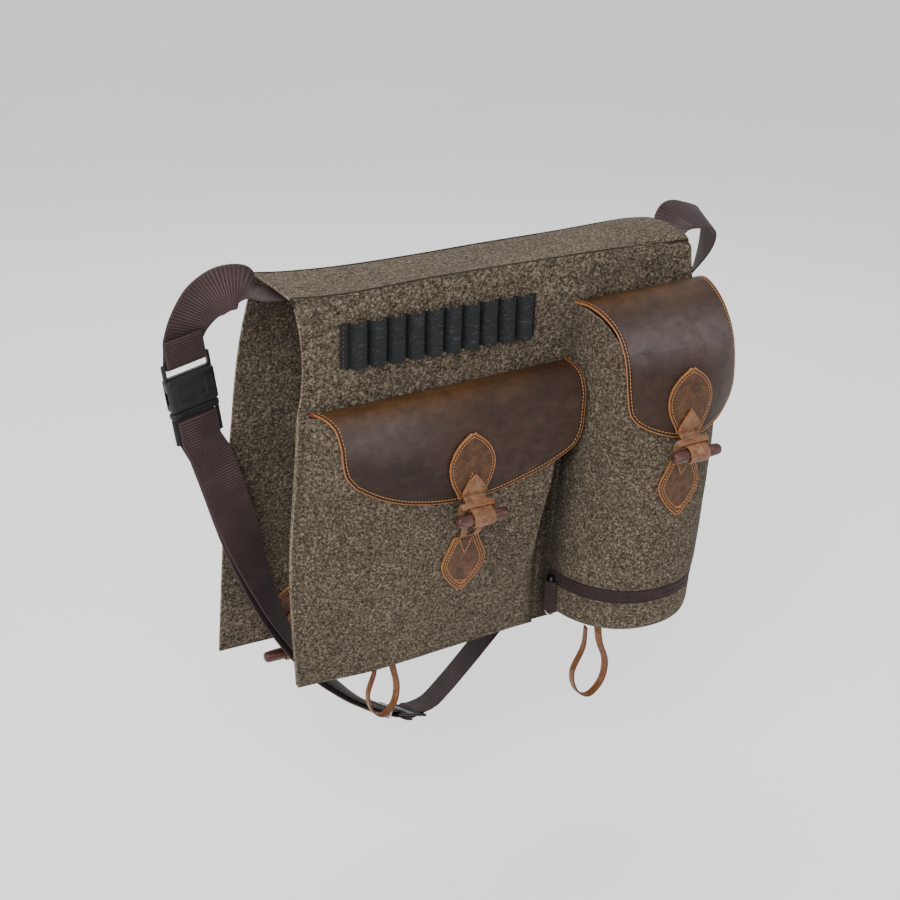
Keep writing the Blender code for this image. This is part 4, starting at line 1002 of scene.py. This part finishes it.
def flap_point(u, v):
    """Outer face of the flat flap."""
    x = mix(cubic(FLAP_LEFT_EDGE, v), cubic(FLAP_RIGHT_EDGE, v), u)
    top = mix(FLAP_TOP_LEFT, FLAP_TOP_RIGHT, u)
    shoulder = min(v, SHOULDER_END)
    share = cubic(FLAP_SHOULDER, shoulder, 1)
    z = top - cubic(FLAP_SHOULDER, shoulder, 2)
    if v > SHOULDER_END:
        below = (v - SHOULDER_END) / (1 - SHOULDER_END)
        z = mix(z, cubic(FLAP_LOWER_EDGE, x), below)
    at_panel = front_face(x, z) + dented(x, z) - LEATHER - GAP
    return x, mix(at_panel, flap_front(x, z), share), z


def zone(middle_u, reach_u, middle_v, reach_v, share):
    """Share of a colour that fades away from a place on a flap."""
    def value(u, v):
        return share * (1 - ramp(abs(u - middle_u), reach_u)) * (1 - ramp(abs(v - middle_v), reach_v))

    return value


def soft_corners(point, reach, cut=0.016):
    """The same surface with its two lower corners rounded off."""
    def trimmed(u, v):
        near = max(1 - min(u, 1 - u) / reach, 0)
        return point(u, v * (1 - cut * near ** 2))

    return trimmed


def leather_flap(name, surface, node, columns, rows, zones, reach):
    point = soft_corners(surface, reach)
    _, rim = border(point, FLAP_SIDES)
    looks = {key: zone(*row) for key, row in zones.items()}
    item = shell(name, point, columns, rows, LEATHER, ["leather", "raw_edge"], rim, 0.55, looks)
    worn_by(item, "leather", node)
    sewn = stitches(f"{name}_stitches", [inset(point, FLAP_SIDES, 3.3)], FLAP_STITCH, "orange_thread")
    worn_by(sewn, "leather")


def bar_tack():
    """Short red bar of close stitches that holds the flap's left upper corner."""
    path = []
    for step in range(7):
        x = FLAP_LEFT_EDGE[0][1] - 2.5 + 0.9 * step
        z = FLAP_TOP_LEFT + 0.5 - 0.5 * step
        path.append((Vector((x, front_face(x, z) + dented(x, z) - LEATHER - GAP, z)), Vector((0, -1, 0))))
    worn_by(stitches("flat_flap_tack", [path], TACK_STITCH, "red_thread", 90), "leather")


# Round pocket with its zip and base

def round_point(t, z, inset_by=0, share=1):
    """Point on the round pocket's outer face: t runs from the left seam to the right one."""
    left, right, depth, square = (cubic(ROUND_SECTIONS, z, column) for column in (1, 2, 3, 4))
    power = 2 / square
    middle = (left + right) / 2
    half = (right - left) / 2 - inset_by
    angle = pi * (1 - t)
    across = copysign(abs(cos(angle)) ** power, cos(angle))
    bulk = abs(sin(angle)) ** power
    x = middle + half * share * across
    wall = front_face(x, z) - GAP
    y = wall - (depth - inset_by) * share * bulk
    return x, y, z


def round_dent(t, z):
    """Dents of the round pocket's wall, calm at its seams."""
    calm = ramp(sin(pi * t), 0.5)
    return calm * (1.1 * ripple(t * 190, z, 60, 21) + 0.4 * ripple(t * 190, z, 22, 25))


def round_pocket():
    bottom = ZIP_MIDDLE + ZIP_HEIGHT / 2 + GAP

    def point(u, v):
        z = mix(cubic(ROUND_RIM, u), bottom, v)
        dent = round_dent(u, z) * ramp(-100 - z, 60)
        return round_point(u, z, max(-dent, 0) + 0.3 * ramp(v - 0.97, 0.03))

    def shade(u, v):
        return 0.7 * (1 - ramp(u, 0.11)) * ramp(SHADE_TOP - point(u, v)[2], 60)

    _, rim = border(point, [((0, 1), (1, 1))])
    felt_sheet("felt_round_pocket", "round_pocket", point, (190, 120), rim, 1, shade)


def zip_tape():
    """Band of zip tape with a raised middle where its two edges meet, and a seam along each side."""
    top = ZIP_MIDDLE + ZIP_HEIGHT / 2
    lips = [(0, 1.2), (0.12, 0.55), (0.3, 0.2), (0.42, 0.45), (0.5, 1.15), (0.58, 0.45), (0.7, 0.2),
            (0.88, 0.55), (1, 1.2)]

    def point(u, v):
        return round_point(u, top - ZIP_HEIGHT * v, cubic(lips, v))

    worn_by(shell("zip_lips", point, 150, 24, 1.2, ["tape"], (), 0.3), "zip", "zip_tape")
    seams = []
    for z in (top - 1.3, top - ZIP_HEIGHT + 1.3):
        path = [Vector(round_point(step / 200, z, 0.35)) for step in range(8, 193)]
        last = len(path) - 1
        seams.append([(place, (path[min(index + 1, last)] - path[max(index - 1, 0)])
                       .cross(Vector((0, 0, -1))).normalized()) for index, place in enumerate(path)])
    worn_by(stitches("zip_seams", seams, ZIP_STITCH, "brown_thread", 0), "zip")


def round_base():
    top = ZIP_MIDDLE - ZIP_HEIGHT / 2 - GAP

    def point(u, v):
        return round_point(u, top - cubic(BASE_ROWS, v, 2), 0, cubic(BASE_ROWS, v, 1))

    _, rim = border(point, [((0, 0), (1, 0))])
    felt_sheet("felt_round_base", "round_base", point, (150, 60), rim, 1)


def on_round_pocket(x, z):
    """Y of the round pocket's outer face at an x."""
    left, right, depth, square = (cubic(ROUND_SECTIONS, z, column) for column in (1, 2, 3, 4))
    share = abs(2 * (x - left) / (right - left) - 1)
    return front_face(x, z) - GAP - depth * max(1 - share ** square, 0) ** (1 / square)


def round_flap_point(u, v):
    """Outer face of the round flap: a parabola through its three lines, clear of the pocket."""
    weights = (2 * (u - 0.5) * (u - 1), 4 * u * (1 - u), 2 * u * (u - 0.5))
    tables = (ROUND_FLAP_LEFT, ROUND_FLAP_MIDDLE, ROUND_FLAP_RIGHT)
    x, y, z = (sum(weight * cubic(table, v, axis) for weight, table in zip(weights, tables))
               for axis in (1, 2, 3))
    if v > FLAP_ON_POCKET:
        y = min(y, on_round_pocket(x, z) - LEATHER - 2 * GAP)
    return x, y, z


def halved(value, target):
    """Key from 0 to 1 at which a falling value meets its target."""
    low, high = 0, 1.0
    for _ in range(20):
        middle = (low + high) / 2
        if value(middle) > target:
            low = middle
        else:
            high = middle
    return low


def on_round_flap(x, z):
    """Y of the round flap's outer face at a place on its front."""
    u = 0.5
    for _ in range(3):
        v = halved(lambda key: round_flap_point(u, key)[2], z)
        u = halved(lambda key: -round_flap_point(key, v)[0], -x)
    return round_flap_point(u, v)[1]


# Leaf tabs, toggles and their strips

def leaf(name, node, table, middle, top, length, surface, toward=-1):
    """Leaf shaped tab on a surface, stitched along its edge, with the strip's stitched end on it."""
    def point(u, v):
        half = cubic(table, v)
        x = middle + half * (2 * u - 1) * -toward
        z = top - length * v
        lift = 0.5 * (2 * abs(u - 0.5)) ** 3
        return x, surface(x, z) + toward * (LEATHER + GAP + lift), z

    tip_first = table[0][1] < table[-1][1]
    if tip_first:
        sides = [((0, 1), (0, 0)), ((1, 0), (1, 1))]
        vee = [(0.2, 0.97), (0.5, 0.62), (0.8, 0.97)]
    else:
        sides = [((0, 0), (0, 1)), ((1, 1), (1, 0))]
        vee = [(0.26, 0.03), (0.5, 0.3), (0.74, 0.03)]
    _, rim = border(point, [((0, 0), (0, 1)), ((1, 0), (1, 1)), ((0, 0), (1, 0)), ((0, 1), (1, 1))])
    worn_by(shell(name, point, 36, 52, LEATHER, ["tab", "raw_edge"], rim, 0.55), "tan_leather", node)
    paths = [inset(point, sides, 2.9), line_on(point, vee)]
    if tip_first:
        paths.append(line_on(point, [(0.36, 0.97), (0.5, 0.72), (0.64, 0.97)]))
    else:
        paths.append(inset(point, sides, 5.2))
    worn_by(stitches(f"{name}_stitches", paths, LEAF_STITCH, "orange_thread"), "tan_leather")


def toggle(name, node, place, tilt=0):
    """Turned horn rod, a little thinner towards its rounded ends."""
    sides = 40
    outline = [(-share, swell) for share, swell in TOGGLE_OUTLINE[:0:-1]] + TOGGLE_OUTLINE
    vertices = []
    for share, swell in outline:
        along, radius = TOGGLE_LENGTH / 2 * share, TOGGLE_RADIUS * swell
        for side in range(sides):
            angle = 2 * pi * side / sides
            uneven = 1 + 0.025 * ripple(along, 9 * cos(angle), 9, place[0]) - 0.0125
            vertices.append((along, radius * uneven * cos(angle), radius * uneven * sin(angle)))
    item = put(name, vertices, ring_faces(len(outline), sides), ["toggle"])
    outward(item)
    item.data.transform(frame_at(place, (tilt, "Y")))
    worn_by(item, "toggle", node)


def neck_line(place, leaf_y):
    """Where a wrap leaves its leaf and where it meets the toggle: (y, z) of each."""
    _, y, z = place
    ring = TOGGLE_RADIUS + GAP + WRAP_THICK / 2
    rest = leaf_y - WRAP_THICK / 2 - 1.5 * GAP
    angle = radians(NECK_ANGLE)
    return (rest, z + ring + NECK_RISE), (y - ring * cos(angle), z + ring * sin(angle))


def wrap(name, node, place, start, leaf_y):
    """Strip from its pointed end on a leaf to the toggle and once round it."""
    x, y, z = place
    ring = TOGGLE_RADIUS + GAP + WRAP_THICK / 2
    (rest, bend), meet = neck_line(place, leaf_y)
    stations = [(rest, start, 1.5), (rest, mix(start, bend, 0.35), 7.5), (rest, mix(start, bend, 0.7), 12.5),
                (rest, bend, 11), (*meet, WRAP_WIDTH / 2)]
    for turn in range(1, WRAP_STEPS + 1):
        angle = radians(NECK_ANGLE - turn * WRAP_STEP)
        stations.append((y - ring * cos(angle), z + ring * sin(angle), WRAP_WIDTH / 2))
    fine = samples(stations, 6)
    strip = stations_of([(x, py, pz, 1, 0, 0) for py, pz, _ in fine], 2)
    strip = [(middle, across * half, normal) for (middle, across, normal), (_, _, half) in zip(strip, fine)]
    worn_by(ribbon(name, strip, WRAP_THICK, "strip"), "tan_leather", node)


def catch_loop(name, node, place, top, low_y, leaf_y):
    """Narrow strip from the catch leaf up behind the toggle and over the wrap's neck."""
    x, y, z = place
    (rest, bend), (meet_y, meet_z) = neck_line(place, leaf_y)
    along = Vector((0, meet_y - rest, meet_z - bend)).normalized()
    lift = WRAP_THICK / 2 + LOOP_THICK / 2 + 1.5 * GAP
    over_y = mix(rest, meet_y, 0.5) + along.z * lift
    over_z = mix(bend, meet_z, 0.5) - along.y * lift
    behind = y + TOGGLE_RADIUS + LOOP_THICK / 2 + LOOP_BEHIND
    side = [(-6.5, low_y, top + 1, 1, 0, 0),
            (-9.5, mix(low_y, behind, 0.6), mix(top, z, 0.5), 1, 0, 0),
            (-15, behind, z + 1, 0.95, -0.2, -0.2),
            (-16, mix(behind, over_y, 0.5), mix(z, over_z, 0.75), 0.4, -0.8, -0.4),
            (-9.5, over_y, over_z, 0, along.y, along.z), (0, over_y, over_z, 0, along.y, along.z)]
    rows = [(x + dx, py, pz, wx, wy, wz) for dx, py, pz, wx, wy, wz in side]
    for dx, py, pz, wx, wy, wz in side[-2::-1]:
        rows.append((x - dx, py, pz, -wx, wy, wz))
    worn_by(ribbon(name, strip_stations(rows, 12, LOOP_STRIP), LOOP_THICK, "strip"), "tan_leather", node)


def leaf_front(surface, x, top, bottom):
    """Y of the foremost place on a leaf between two heights."""
    heights = (top, (top + bottom) / 2, bottom)
    return min(surface(x + side * WRAP_WIDTH / 2, z) for side in (-1, 0, 1) for z in heights) - LEATHER - GAP


def closure(kind, surface, pocket, x, tip, start, place, catch_top, tilt=0):
    """Leaf, wrap and toggle on a flap, with the catch leaf and its loop on the pocket below."""
    upper_y = leaf_front(surface, x, start, tip - UPPER_LEAF_LENGTH)
    low_y = leaf_front(pocket, x, catch_top, catch_top - 4) - LOOP_THICK / 2 - 2 * GAP
    leaf(f"leather_{kind}_leaf", f"{kind}_leaf", UPPER_LEAF, x, tip, UPPER_LEAF_LENGTH, surface)
    wrap(f"leather_{kind}_wrap", f"{kind}_wrap", place, start, upper_y)
    toggle(f"horn_{kind}_toggle", f"{kind}_toggle", place, tilt)
    leaf(f"leather_{kind}_catch", f"{kind}_catch_leaf", CATCH_LEAF, x, catch_top, CATCH_LEAF_LENGTH, pocket)
    catch_loop(f"leather_{kind}_loop", f"{kind}_catch_loop", place, catch_top, low_y, upper_y)


def closures():
    closure("flat", flap_front, pocket_face, FLAT_LEAF_X, FLAT_LEAF_TIP, FLAT_WRAP_START, FLAT_TOGGLE,
            FLAT_CATCH_TOP, radians(1))
    closure("round", on_round_flap, on_round_pocket, ROUND_LEAF_X, ROUND_LEAF_TIP, ROUND_WRAP_START,
            ROUND_TOGGLE, ROUND_CATCH_TOP)


def back_inner(x, z):
    """Y of the back panel's inner face."""
    return back_face(min(FELT - z, BACK_LENGTH)) - FELT


def back_closures():
    for side, x in (("left", BACK_LEAF_LEFT_X), ("right", BACK_LEAF_RIGHT_X)):
        leaf(f"leather_back_leaf_{side}", f"back_leaf_{side}", UPPER_LEAF, x, BACK_LEAF_TOP, BACK_LEAF_LENGTH,
             back_inner)
        start = BACK_LEAF_TOP - BACK_WRAP_DROP
        leaf_y = leaf_front(back_inner, x, start, BACK_LEAF_TOP - BACK_LEAF_LENGTH) - GAP
        place = (x, leaf_y - TOGGLE_RADIUS, BACK_TOGGLE_Z)
        wrap(f"leather_back_wrap_{side}", f"back_wrap_{side}", place, start, leaf_y)
        place = (x - BACK_TOGGLE_SHIFT, place[1], BACK_TOGGLE_Z)
        toggle(f"horn_back_toggle_{side}", f"back_toggle_{side}", place)


def hanging_loop(name, node, place, length, spread):
    """Teardrop loop of a leather strip, hanging from a seam and turning from its left to its right side."""
    x, y, z = place
    outline = [(-7, 0), (-9, 0.28), (-spread, 0.6), (-0.72 * spread, 0.88), (0, 1),
               (0.78 * spread, 0.86), (spread, 0.6), (11, 0.28), (7, 0)]
    rows = []
    for index, (dx, share) in enumerate(outline):
        angle = radians(mix(LOOP_TURN_LEFT, LOOP_TURN_RIGHT, index / (len(outline) - 1)))
        rows.append((x + dx, y + 0.5 * abs(dx * sin(angle)), z - length * share,
                     sin(angle), cos(angle), 0))
    worn_by(ribbon(name, strip_stations(rows, 12, HANGING_STRIP), 1.8, "tan"), "tan_leather", node)


def hanging_loops():
    behind = front_face(LOOP_LEFT_X, LOOP_LEFT_Z) + FELT + 2 * GAP + HANGING_STRIP / 2
    places = ((LOOP_LEFT_X, behind, LOOP_LEFT_Z), (*LOOP_RIGHT_PLACE, BASE_BOTTOM - 2 * GAP))
    for side, place, length, spread in zip(("left", "right"), places, LOOP_LENGTHS, LOOP_SPREADS):
        hanging_loop(f"leather_hanging_{side}", f"hanging_loop_{side}", place, length, spread)


# Elastic

def cartridge_elastic():
    """Ribbed elastic sewn down between its loops."""
    start = ELASTIC_LEFT + ELASTIC_TAB
    pitch = (ELASTIC_RIGHT - ELASTIC_END - start) / LOOP_COUNT
    columns, rows = 260, 16

    def bulge(x):
        if x <= start or x >= start + pitch * LOOP_COUNT:
            return 0
        return max(cubic(LOOP_PROFILE, (x - start) / pitch % 1), 0)

    vertices, places, valley_shades, crest_highlights = [], [], [], []
    for row in range(rows + 1):
        v = row / rows
        for column in range(columns + 1):
            x = mix(ELASTIC_LEFT, ELASTIC_RIGHT, column / columns)
            out = bulge(x)
            loop = int((x - start) / pitch)
            z = ELASTIC_TOP - ELASTIC_HEIGHT * v
            z += (v - 0.5) * -1.2 * out / LOOP_BULGE + 0.5 * ripple(loop * 9, v, 3, 2) * out / LOOP_BULGE
            out *= 1 + 0.05 * ripple(loop * 7, v * 3, 1.5, 6)
            vertices.append((x, elastic_rest(x, z) - out, z))
            places.append((x + out, z, 0))
            # painted shade in the valleys between the loops
            valley_shades.append(1 - ramp(bulge(x), 3.5) if x > start else 0)
            share = (x - start) / pitch % 1
            # painted highlight just left of each valley
            crest_highlights.append(max(1 - abs(share - 0.84) * pitch / 0.9, 0) if x > start else 0)
    item = put("elastic_loops", vertices, grid_faces(columns, rows), ["elastic"],
               {"strip": places, "painted_valley_shade": valley_shades, "painted_crest_highlight": crest_highlights})
    thicken(item, ELASTIC_THICK, 0, 0.3)
    worn_by(item, "elastic", "cartridge_elastic")
    dark = [start + pitch * loop for loop in range(1, LOOP_COUNT)] + [ELASTIC_RIGHT - 1.6]
    for shade, rows_at in (("red", [ELASTIC_LEFT + 3.2]), ("black", dark)):
        tacks = []
        for x in rows_at:
            heights = [ELASTIC_TOP - 1 - (ELASTIC_HEIGHT - 2) * step / 29 for step in range(30)]
            tacks.append([(Vector((x, elastic_rest(x, z), z)), Vector((0, -1, 0))) for z in heights])
        sewn = stitches(f"elastic_{shade}_stitches", tacks, ELASTIC_STITCH, f"{shade}_thread", 0)
        worn_by(sewn, "elastic")


def elastic_rest(x, z):
    """Y of the elastic's outer face where it is sewn down on the front."""
    return front_face(x, z) + dented(x, z) - 2 * GAP - ELASTIC_THICK


# Strap with its buckle and adjuster

def buckle_frame():
    return frame_at(BUCKLE_PLACE, (BUCKLE_TURN, "Z"), (BUCKLE_TILT, "Y"))


def adjuster_frame():
    return frame_at(ADJUSTER_PLACE, (ADJUSTER_TILT, "Y"), (ADJUSTER_LEAN, "X"))


def in_frame(frame, x, y, z):
    """World point in millimetres from a place in a frame."""
    return (frame @ Vector((x * MM, y * MM, z * MM))) / MM


def fold_round(centre_z, radius, start, stop, side, steps=24):
    """Stations of a turn round a bar of the buckle. The side is the sign of the width direction."""
    frame = buckle_frame()
    turn = frame.to_3x3()
    across = turn @ Vector((side, 0, 0))
    stations = []
    for step in range(steps + 1):
        angle = radians(mix(start, stop, step / steps))
        middle = in_frame(frame, 0, radius * cos(angle), centre_z + radius * sin(angle))
        forward = angle + copysign(pi / 2, stop - start)
        travel = turn @ Vector((0, cos(forward), sin(forward)))
        stations.append((middle, across * WEB_WIDTH / 2, across.cross(travel)))
    return stations


def strap_left():
    stations = strip_stations(STRAP_LEFT, 14, WEB_WIDTH)
    stations += fold_round(SOCKET_BAR, BAR_HALF + 3 * GAP + WEB_THICK / 2, 0, -180, -1)
    middle, across, normal = stations[-1]
    down = buckle_frame().to_3x3() @ Vector((0, 0, SEWN_END))
    stations += [(middle + down * step / 8, across, normal) for step in range(1, 9)]
    worn_by(ribbon("strap_left_webbing", stations, WEB_THICK, "web"), "webbing", "strap_left")


def strap_long():
    """From the saddle's right end through the adjuster, round the tongue's bar and back under it."""
    frame = adjuster_frame()
    across = frame.to_3x3() @ Vector((0, 1, 0))
    through, under = (samples([(*in_frame(frame, x, 0, z), *across) for x, z in line], 5)
                      for line in (THROUGH_ADJUSTER, UNDER_ADJUSTER))
    first = stations_of(samples(STRAP_RIGHT, 12) + through, WEB_WIDTH)
    double = strip_stations(STRAP_MIDDLE, 14, WEB_WIDTH)
    radius = TONGUE_HALF + GAP + WEB_THICK / 2
    fold = fold_round(TONGUE_BAR, radius, 180, 0, 1)
    down = buckle_frame().to_3x3() @ Vector((0, 0, TONGUE_END - TONGUE_BAR))
    before = [(fold[0][0] + down * (1 - step / 8), *fold[0][1:]) for step in range(8)]
    behind = [(fold[-1][0] + down * step / 8, *fold[-1][1:]) for step in range(1, 9)]
    back = shift(double, -LAYER_SPACE, -LAYER_SAG)[::-1] + stations_of(under[::-1], WEB_WIDTH)[::-1]
    back = [(middle, width, -normal) for middle, width, normal in back]
    stations = first + shift(double, LAYER_SPACE) + before + fold + behind + back
    worn_by(ribbon("strap_long_webbing", stations, WEB_THICK, "web"), "webbing", "strap_long")


def box_part(name, size, centre, frame, radius, segments=4):
    """Rounded moulded block in a frame, which only joins or cuts another."""
    shape = bmesh.new()
    bmesh.ops.create_cube(shape, size=1)
    mesh = bpy.data.meshes.new(name)
    shape.to_mesh(mesh)
    shape.free()
    mesh.transform(Matrix.Diagonal((size[0] * MM, size[1] * MM, size[2] * MM, 1)))
    mesh.transform(frame_at(centre))
    mesh.transform(frame)
    mesh.materials.append(MATERIALS["plastic"])
    item = placed(name, mesh)
    if radius:
        soften(item, radius, segments)
    return item


def moulded(name, base, extras, cutters, radius=0.4):
    """One smooth body from blocks, less the cutters, with its modifiers applied."""
    for operation, others in (("UNION", extras), ("DIFFERENCE", cutters)):
        for other in others:
            boolean = base.modifiers.new("Shape", "BOOLEAN")
            boolean.operation = operation
            boolean.solver = "EXACT"
            boolean.object = other
    soften(base, radius, 2, 40)
    bpy.context.view_layer.update()
    mesh = bpy.data.meshes.new_from_object(base.evaluated_get(bpy.context.evaluated_depsgraph_get()))
    mesh.name = name
    item = placed(name, mesh)
    for part in [base] + extras + cutters:
        bpy.data.objects.remove(part, do_unlink=True)
    for face in mesh.polygons:
        face.use_smooth = face.area < EDGE_FACE
    return item


def buckle():
    frame = buckle_frame()
    width = BUCKLE_WIDTH
    case = box_part("socket_shell", (width, BUCKLE_DEPTH, 31), (0, 0, 9.5), frame, 3, 5)
    bar_top = SOCKET_BAR + BAR_HALF
    size = (width, 2 * BAR_HALF, bar_top - 23)
    bar = box_part("socket_bar", size, (0, 0, (bar_top + 23) / 2), frame, 1.2, 3)
    hollow = box_part("socket_hollow", (width - 6, 6.6, 40), (0, 0, 3), frame, 0)
    window = box_part("socket_window", (width + 10, 5, 12), (0, 0, 8), frame, 1.5)
    slot_top = SOCKET_BAR - BAR_HALF
    size = (BUCKLE_SLOT, 12, slot_top - 26)
    slot = box_part("socket_slot", size, (0, 0, (slot_top + 26) / 2), frame, 0.8)
    waist = [box_part(f"socket_dish_{side}", (26, 2, 15), (0, side * BUCKLE_DEPTH / 2, 9.5), frame, 0.9)
             for side in (-1, 1)]
    socket = moulded("plastic_socket", case, [bar], [hollow, window, slot] + waist)
    worn_by(socket, "plastic", "buckle_socket")
    foot = box_part("tongue_foot", (width, BUCKLE_DEPTH - 3, 7), (0, 0, -10), frame, 2.4, 4)
    plate = box_part("tongue_plate", (width, 2 * TONGUE_HALF, 26), (0, 0, -25), frame, 1.2, 3)
    prongs = box_part("tongue_prongs", (width - 7.2, 5.4, 26), (0, 0, 4), frame, 1.6, 3)
    forks = [box_part(f"tongue_fork_{side}", (9, 20, 18), (side * 11, 0, 3), frame, 2)
             for side in (-1, 1)]
    slit = box_part("tongue_slot", (BUCKLE_SLOT, 12, 4), (0, 0, -16.5), frame, 0.8)
    face = -BUCKLE_DEPTH / 2 + 1.5
    grips = [box_part(f"tongue_grip_{row}", (30, 0.8, 0.8), (0, face, -8.4 - 1.6 * row), frame, 0)
             for row in range(3)]
    tongue = moulded("plastic_tongue", foot, [plate, prongs], forks + [slit] + grips, 0.3)
    worn_by(tongue, "plastic", "buckle_tongue")


def adjuster():
    frame = adjuster_frame()
    plate = box_part("adjuster_plate", ADJUSTER_SIZE, (0, 0, 0), frame, 1.2, 4)
    slots = [box_part(f"adjuster_slot_{side}", ADJUSTER_SLOT, (side * ADJUSTER_SLOT_OFFSET, 0, 0), frame, 0.8)
             for side in (-1, 1)]
    worn_by(moulded("plastic_adjuster", plate, [], slots, 0.5), "plastic", "strap_adjuster")


def wire(name, points, radius, sides=10):
    """Closed wire through points, its rings turned with the wire."""
    vertices = []
    count = len(points)
    for index, place in enumerate(points):
        travel = (points[(index + 1) % count] - points[index - 1]).normalized()
        first = first - travel * first.dot(travel) if index else travel.orthogonal()
        first.normalize()
        second = travel.cross(first)
        for side in range(sides):
            angle = 2 * pi * side / sides
            vertices.append(place + (first * cos(angle) + second * sin(angle)) * radius)
    item = put(name, vertices, ring_faces(count, sides, closed=True), ["steel"])
    outward(item)
    return item


def slide_ring():
    frame = frame_at(SLIDE_RING_PLACE, (SLIDE_RING_TILT, "Y"), (ADJUSTER_LEAN, "X"))
    half_y = SLIDE_RING_SIZE[0] / 2 - SLIDE_RING_CORNER
    half_z = SLIDE_RING_SIZE[1] / 2 - SLIDE_RING_CORNER
    corners = []
    for sign_y, sign_z, start in ((1, 1, 0), (-1, 1, 90), (-1, -1, 180), (1, -1, 270)):
        for step in range(9):
            angle = radians(start + 90 / 8 * step)
            corners.append(in_frame(frame, 0, half_y * sign_y + SLIDE_RING_CORNER * cos(angle),
                                    half_z * sign_z + SLIDE_RING_CORNER * sin(angle)))
    worn_by(wire("steel_slide_ring", corners, WIRE_RADIUS), "metal", "strap_slide_ring")


def zip_puller():
    """Slider with a folded tape pull and a small wire ring at its end."""
    frame = frame_at(SLIDER_PLACE)
    body = box_part("slider_body", (5, 7, 9), (0, 0, 0), frame, 1.2, 4)
    body.data.materials.clear()
    body.data.materials.append(MATERIALS["dark_steel"])
    worn_by(moulded("steel_zip_slider", body, [], [], 0.3), "metal", "zip_puller")
    x, y = PULL_PLACE
    across = Vector((cos(PULL_TURN), sin(PULL_TURN), 0))
    rows = [(x, y, SLIDER_LEVEL - 1 - PULL_LENGTH * step / 8, *across) for step in range(9)]
    worn_by(ribbon("zip_pull_tape", strip_stations(rows, 3, PULL_WIDTH), 1.8, "tape"), "zip")
    middle = Vector((x, y, SLIDER_LEVEL - PULL_LENGTH - 1.5))
    ring = []
    for step in range(28):
        angle = 2 * pi * step / 28
        ring.append(middle + across * 4.2 * cos(angle) + Vector((0, 0, 3.4 * sin(angle))))
    worn_by(wire("steel_pull_ring", ring, 0.55, 8), "metal")


# Studio

def studio():
    shape = bmesh.new()
    bmesh.ops.create_grid(shape, x_segments=8, y_segments=8, size=9)
    mesh = bpy.data.meshes.new("floor")
    shape.to_mesh(mesh)
    shape.free()
    mesh.transform(Matrix.Translation((0, 0, FLOOR_HEIGHT)))
    mesh.materials.append(plain_material("studio_floor", (0.85, 0.2), (2,), [(0.2, 0.86), (0.8, 0.89)]))
    floor = placed("floor", mesh)
    world = bpy.data.worlds.new("studio")
    bpy.context.scene.world = world
    world.use_nodes = True
    background = world.node_tree.nodes["Background"]
    background.inputs["Color"].default_value = (1, 1, 1, 1)
    background.inputs["Strength"].default_value = 1.1
    lamps = [("key", (-1.3, -1.5, 1.3), 1.2, 62), ("fill", (1.6, -1.3, 0.5), 1.5, 8),
             ("rim", (0.8, 1.6, 1.2), 1.2, 14), ("top", (-0.1, 0.2, 1.9), 1.4, 16)]
    for name, place, size, power in lamps:
        lamp = bpy.data.lights.new(name, "AREA")
        lamp.size = size
        lamp.energy = power
        item = placed(name, lamp)
        item.location = place
        item.rotation_euler = (Vector(CAMERA_AIM) * MM - Vector(place)).to_track_quat("-Z", "Y").to_euler()


def camera():
    lens = bpy.data.cameras.new("camera")
    lens.lens = CAMERA_LENS
    lens.sensor_width = 36.0
    lens.clip_start = 0.05
    lens.clip_end = 30.0
    item = placed("camera", lens)
    turn = (Matrix.Rotation(radians(CAMERA_AZIMUTH), 4, "Z")
            @ Matrix.Rotation(radians(90 - CAMERA_ELEVATION), 4, "X"))
    ahead = turn @ Vector((0, 0, -1))
    place = Vector(CAMERA_AIM) * MM - ahead * CAMERA_DISTANCE * MM
    item.matrix_world = (Matrix.Translation(place) @ turn
                         @ Matrix.Rotation(radians(CAMERA_ROLL), 4, "Z"))
    bpy.context.scene.camera = item


for leftover in list(bpy.data.objects):
    bpy.data.objects.remove(leftover, do_unlink=True)
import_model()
MATERIALS = {
    "felt": felt_material("wool_felt", 1),
    "saddle_felt": felt_material("saddle_felt", 1, True),
    "felt_edge": felt_material("cut_felt", 1.9, True),
    "leather": leather_material(),
    "raw_edge": plain_material("raw_leather_edge", (0.7, 0.3), (520, 3, 0.6),
                               [(0.3, (0.1, 0.036, 0.011)), (0.62, (0.27, 0.11, 0.032))], (0.0004, 0.5)),
    "tab": tab_material("tab_leather", (0.026, 0.0095, 0.0035), (0.098, 0.042, 0.0145), (0.26, 0.098, 0.025)),
    "strip": tab_material("strip_leather", (0.078, 0.032, 0.0145), (0.23, 0.118, 0.062), (0.18, 0.068, 0.021),
                          0),
    "tan": tab_material("tan_leather", (0.11, 0.036, 0.0095), (0.27, 0.12, 0.048), (0.07, 0.022, 0.006), 0.3),
    "orange_thread": thread_material("orange_thread", (0.46, 0.21, 0.065), (0.19, 0.07, 0.018)),
    "brown_thread": thread_material("brown_thread", (0.03, 0.02, 0.015), (0.012, 0.008, 0.006)),
    "red_thread": thread_material("red_thread", (0.24, 0.022, 0.02), (0.08, 0.008, 0.008)),
    "black_thread": thread_material("black_thread", (0.016, 0.016, 0.017), (0.005, 0.005, 0.006)),
    "web": web_material(),
    "elastic": elastic_material(),
    "tape": tape_material(),
    "toggle": toggle_material(),
    "plastic": plastic_material(),
    "steel": steel_material("nickel_steel", 0.24),
    "dark_steel": steel_material("blackened_steel", 0.04),
}
saddle_top()
front_panel()
back_panel()
flat_pocket()
leather_flap("leather_flat_flap", flap_point, "flat_flap", 170, 110, FLAT_ZONES, 0.05)
bar_tack()
round_pocket()
zip_tape()
round_base()
leather_flap("leather_round_flap", round_flap_point, "round_flap", 130, 120, ROUND_ZONES, 0.07)
zip_puller()
closures()
back_closures()
hanging_loops()
cartridge_elastic()
buckle()
strap_left()
strap_long()
adjuster()
slide_ring()
studio()
camera()
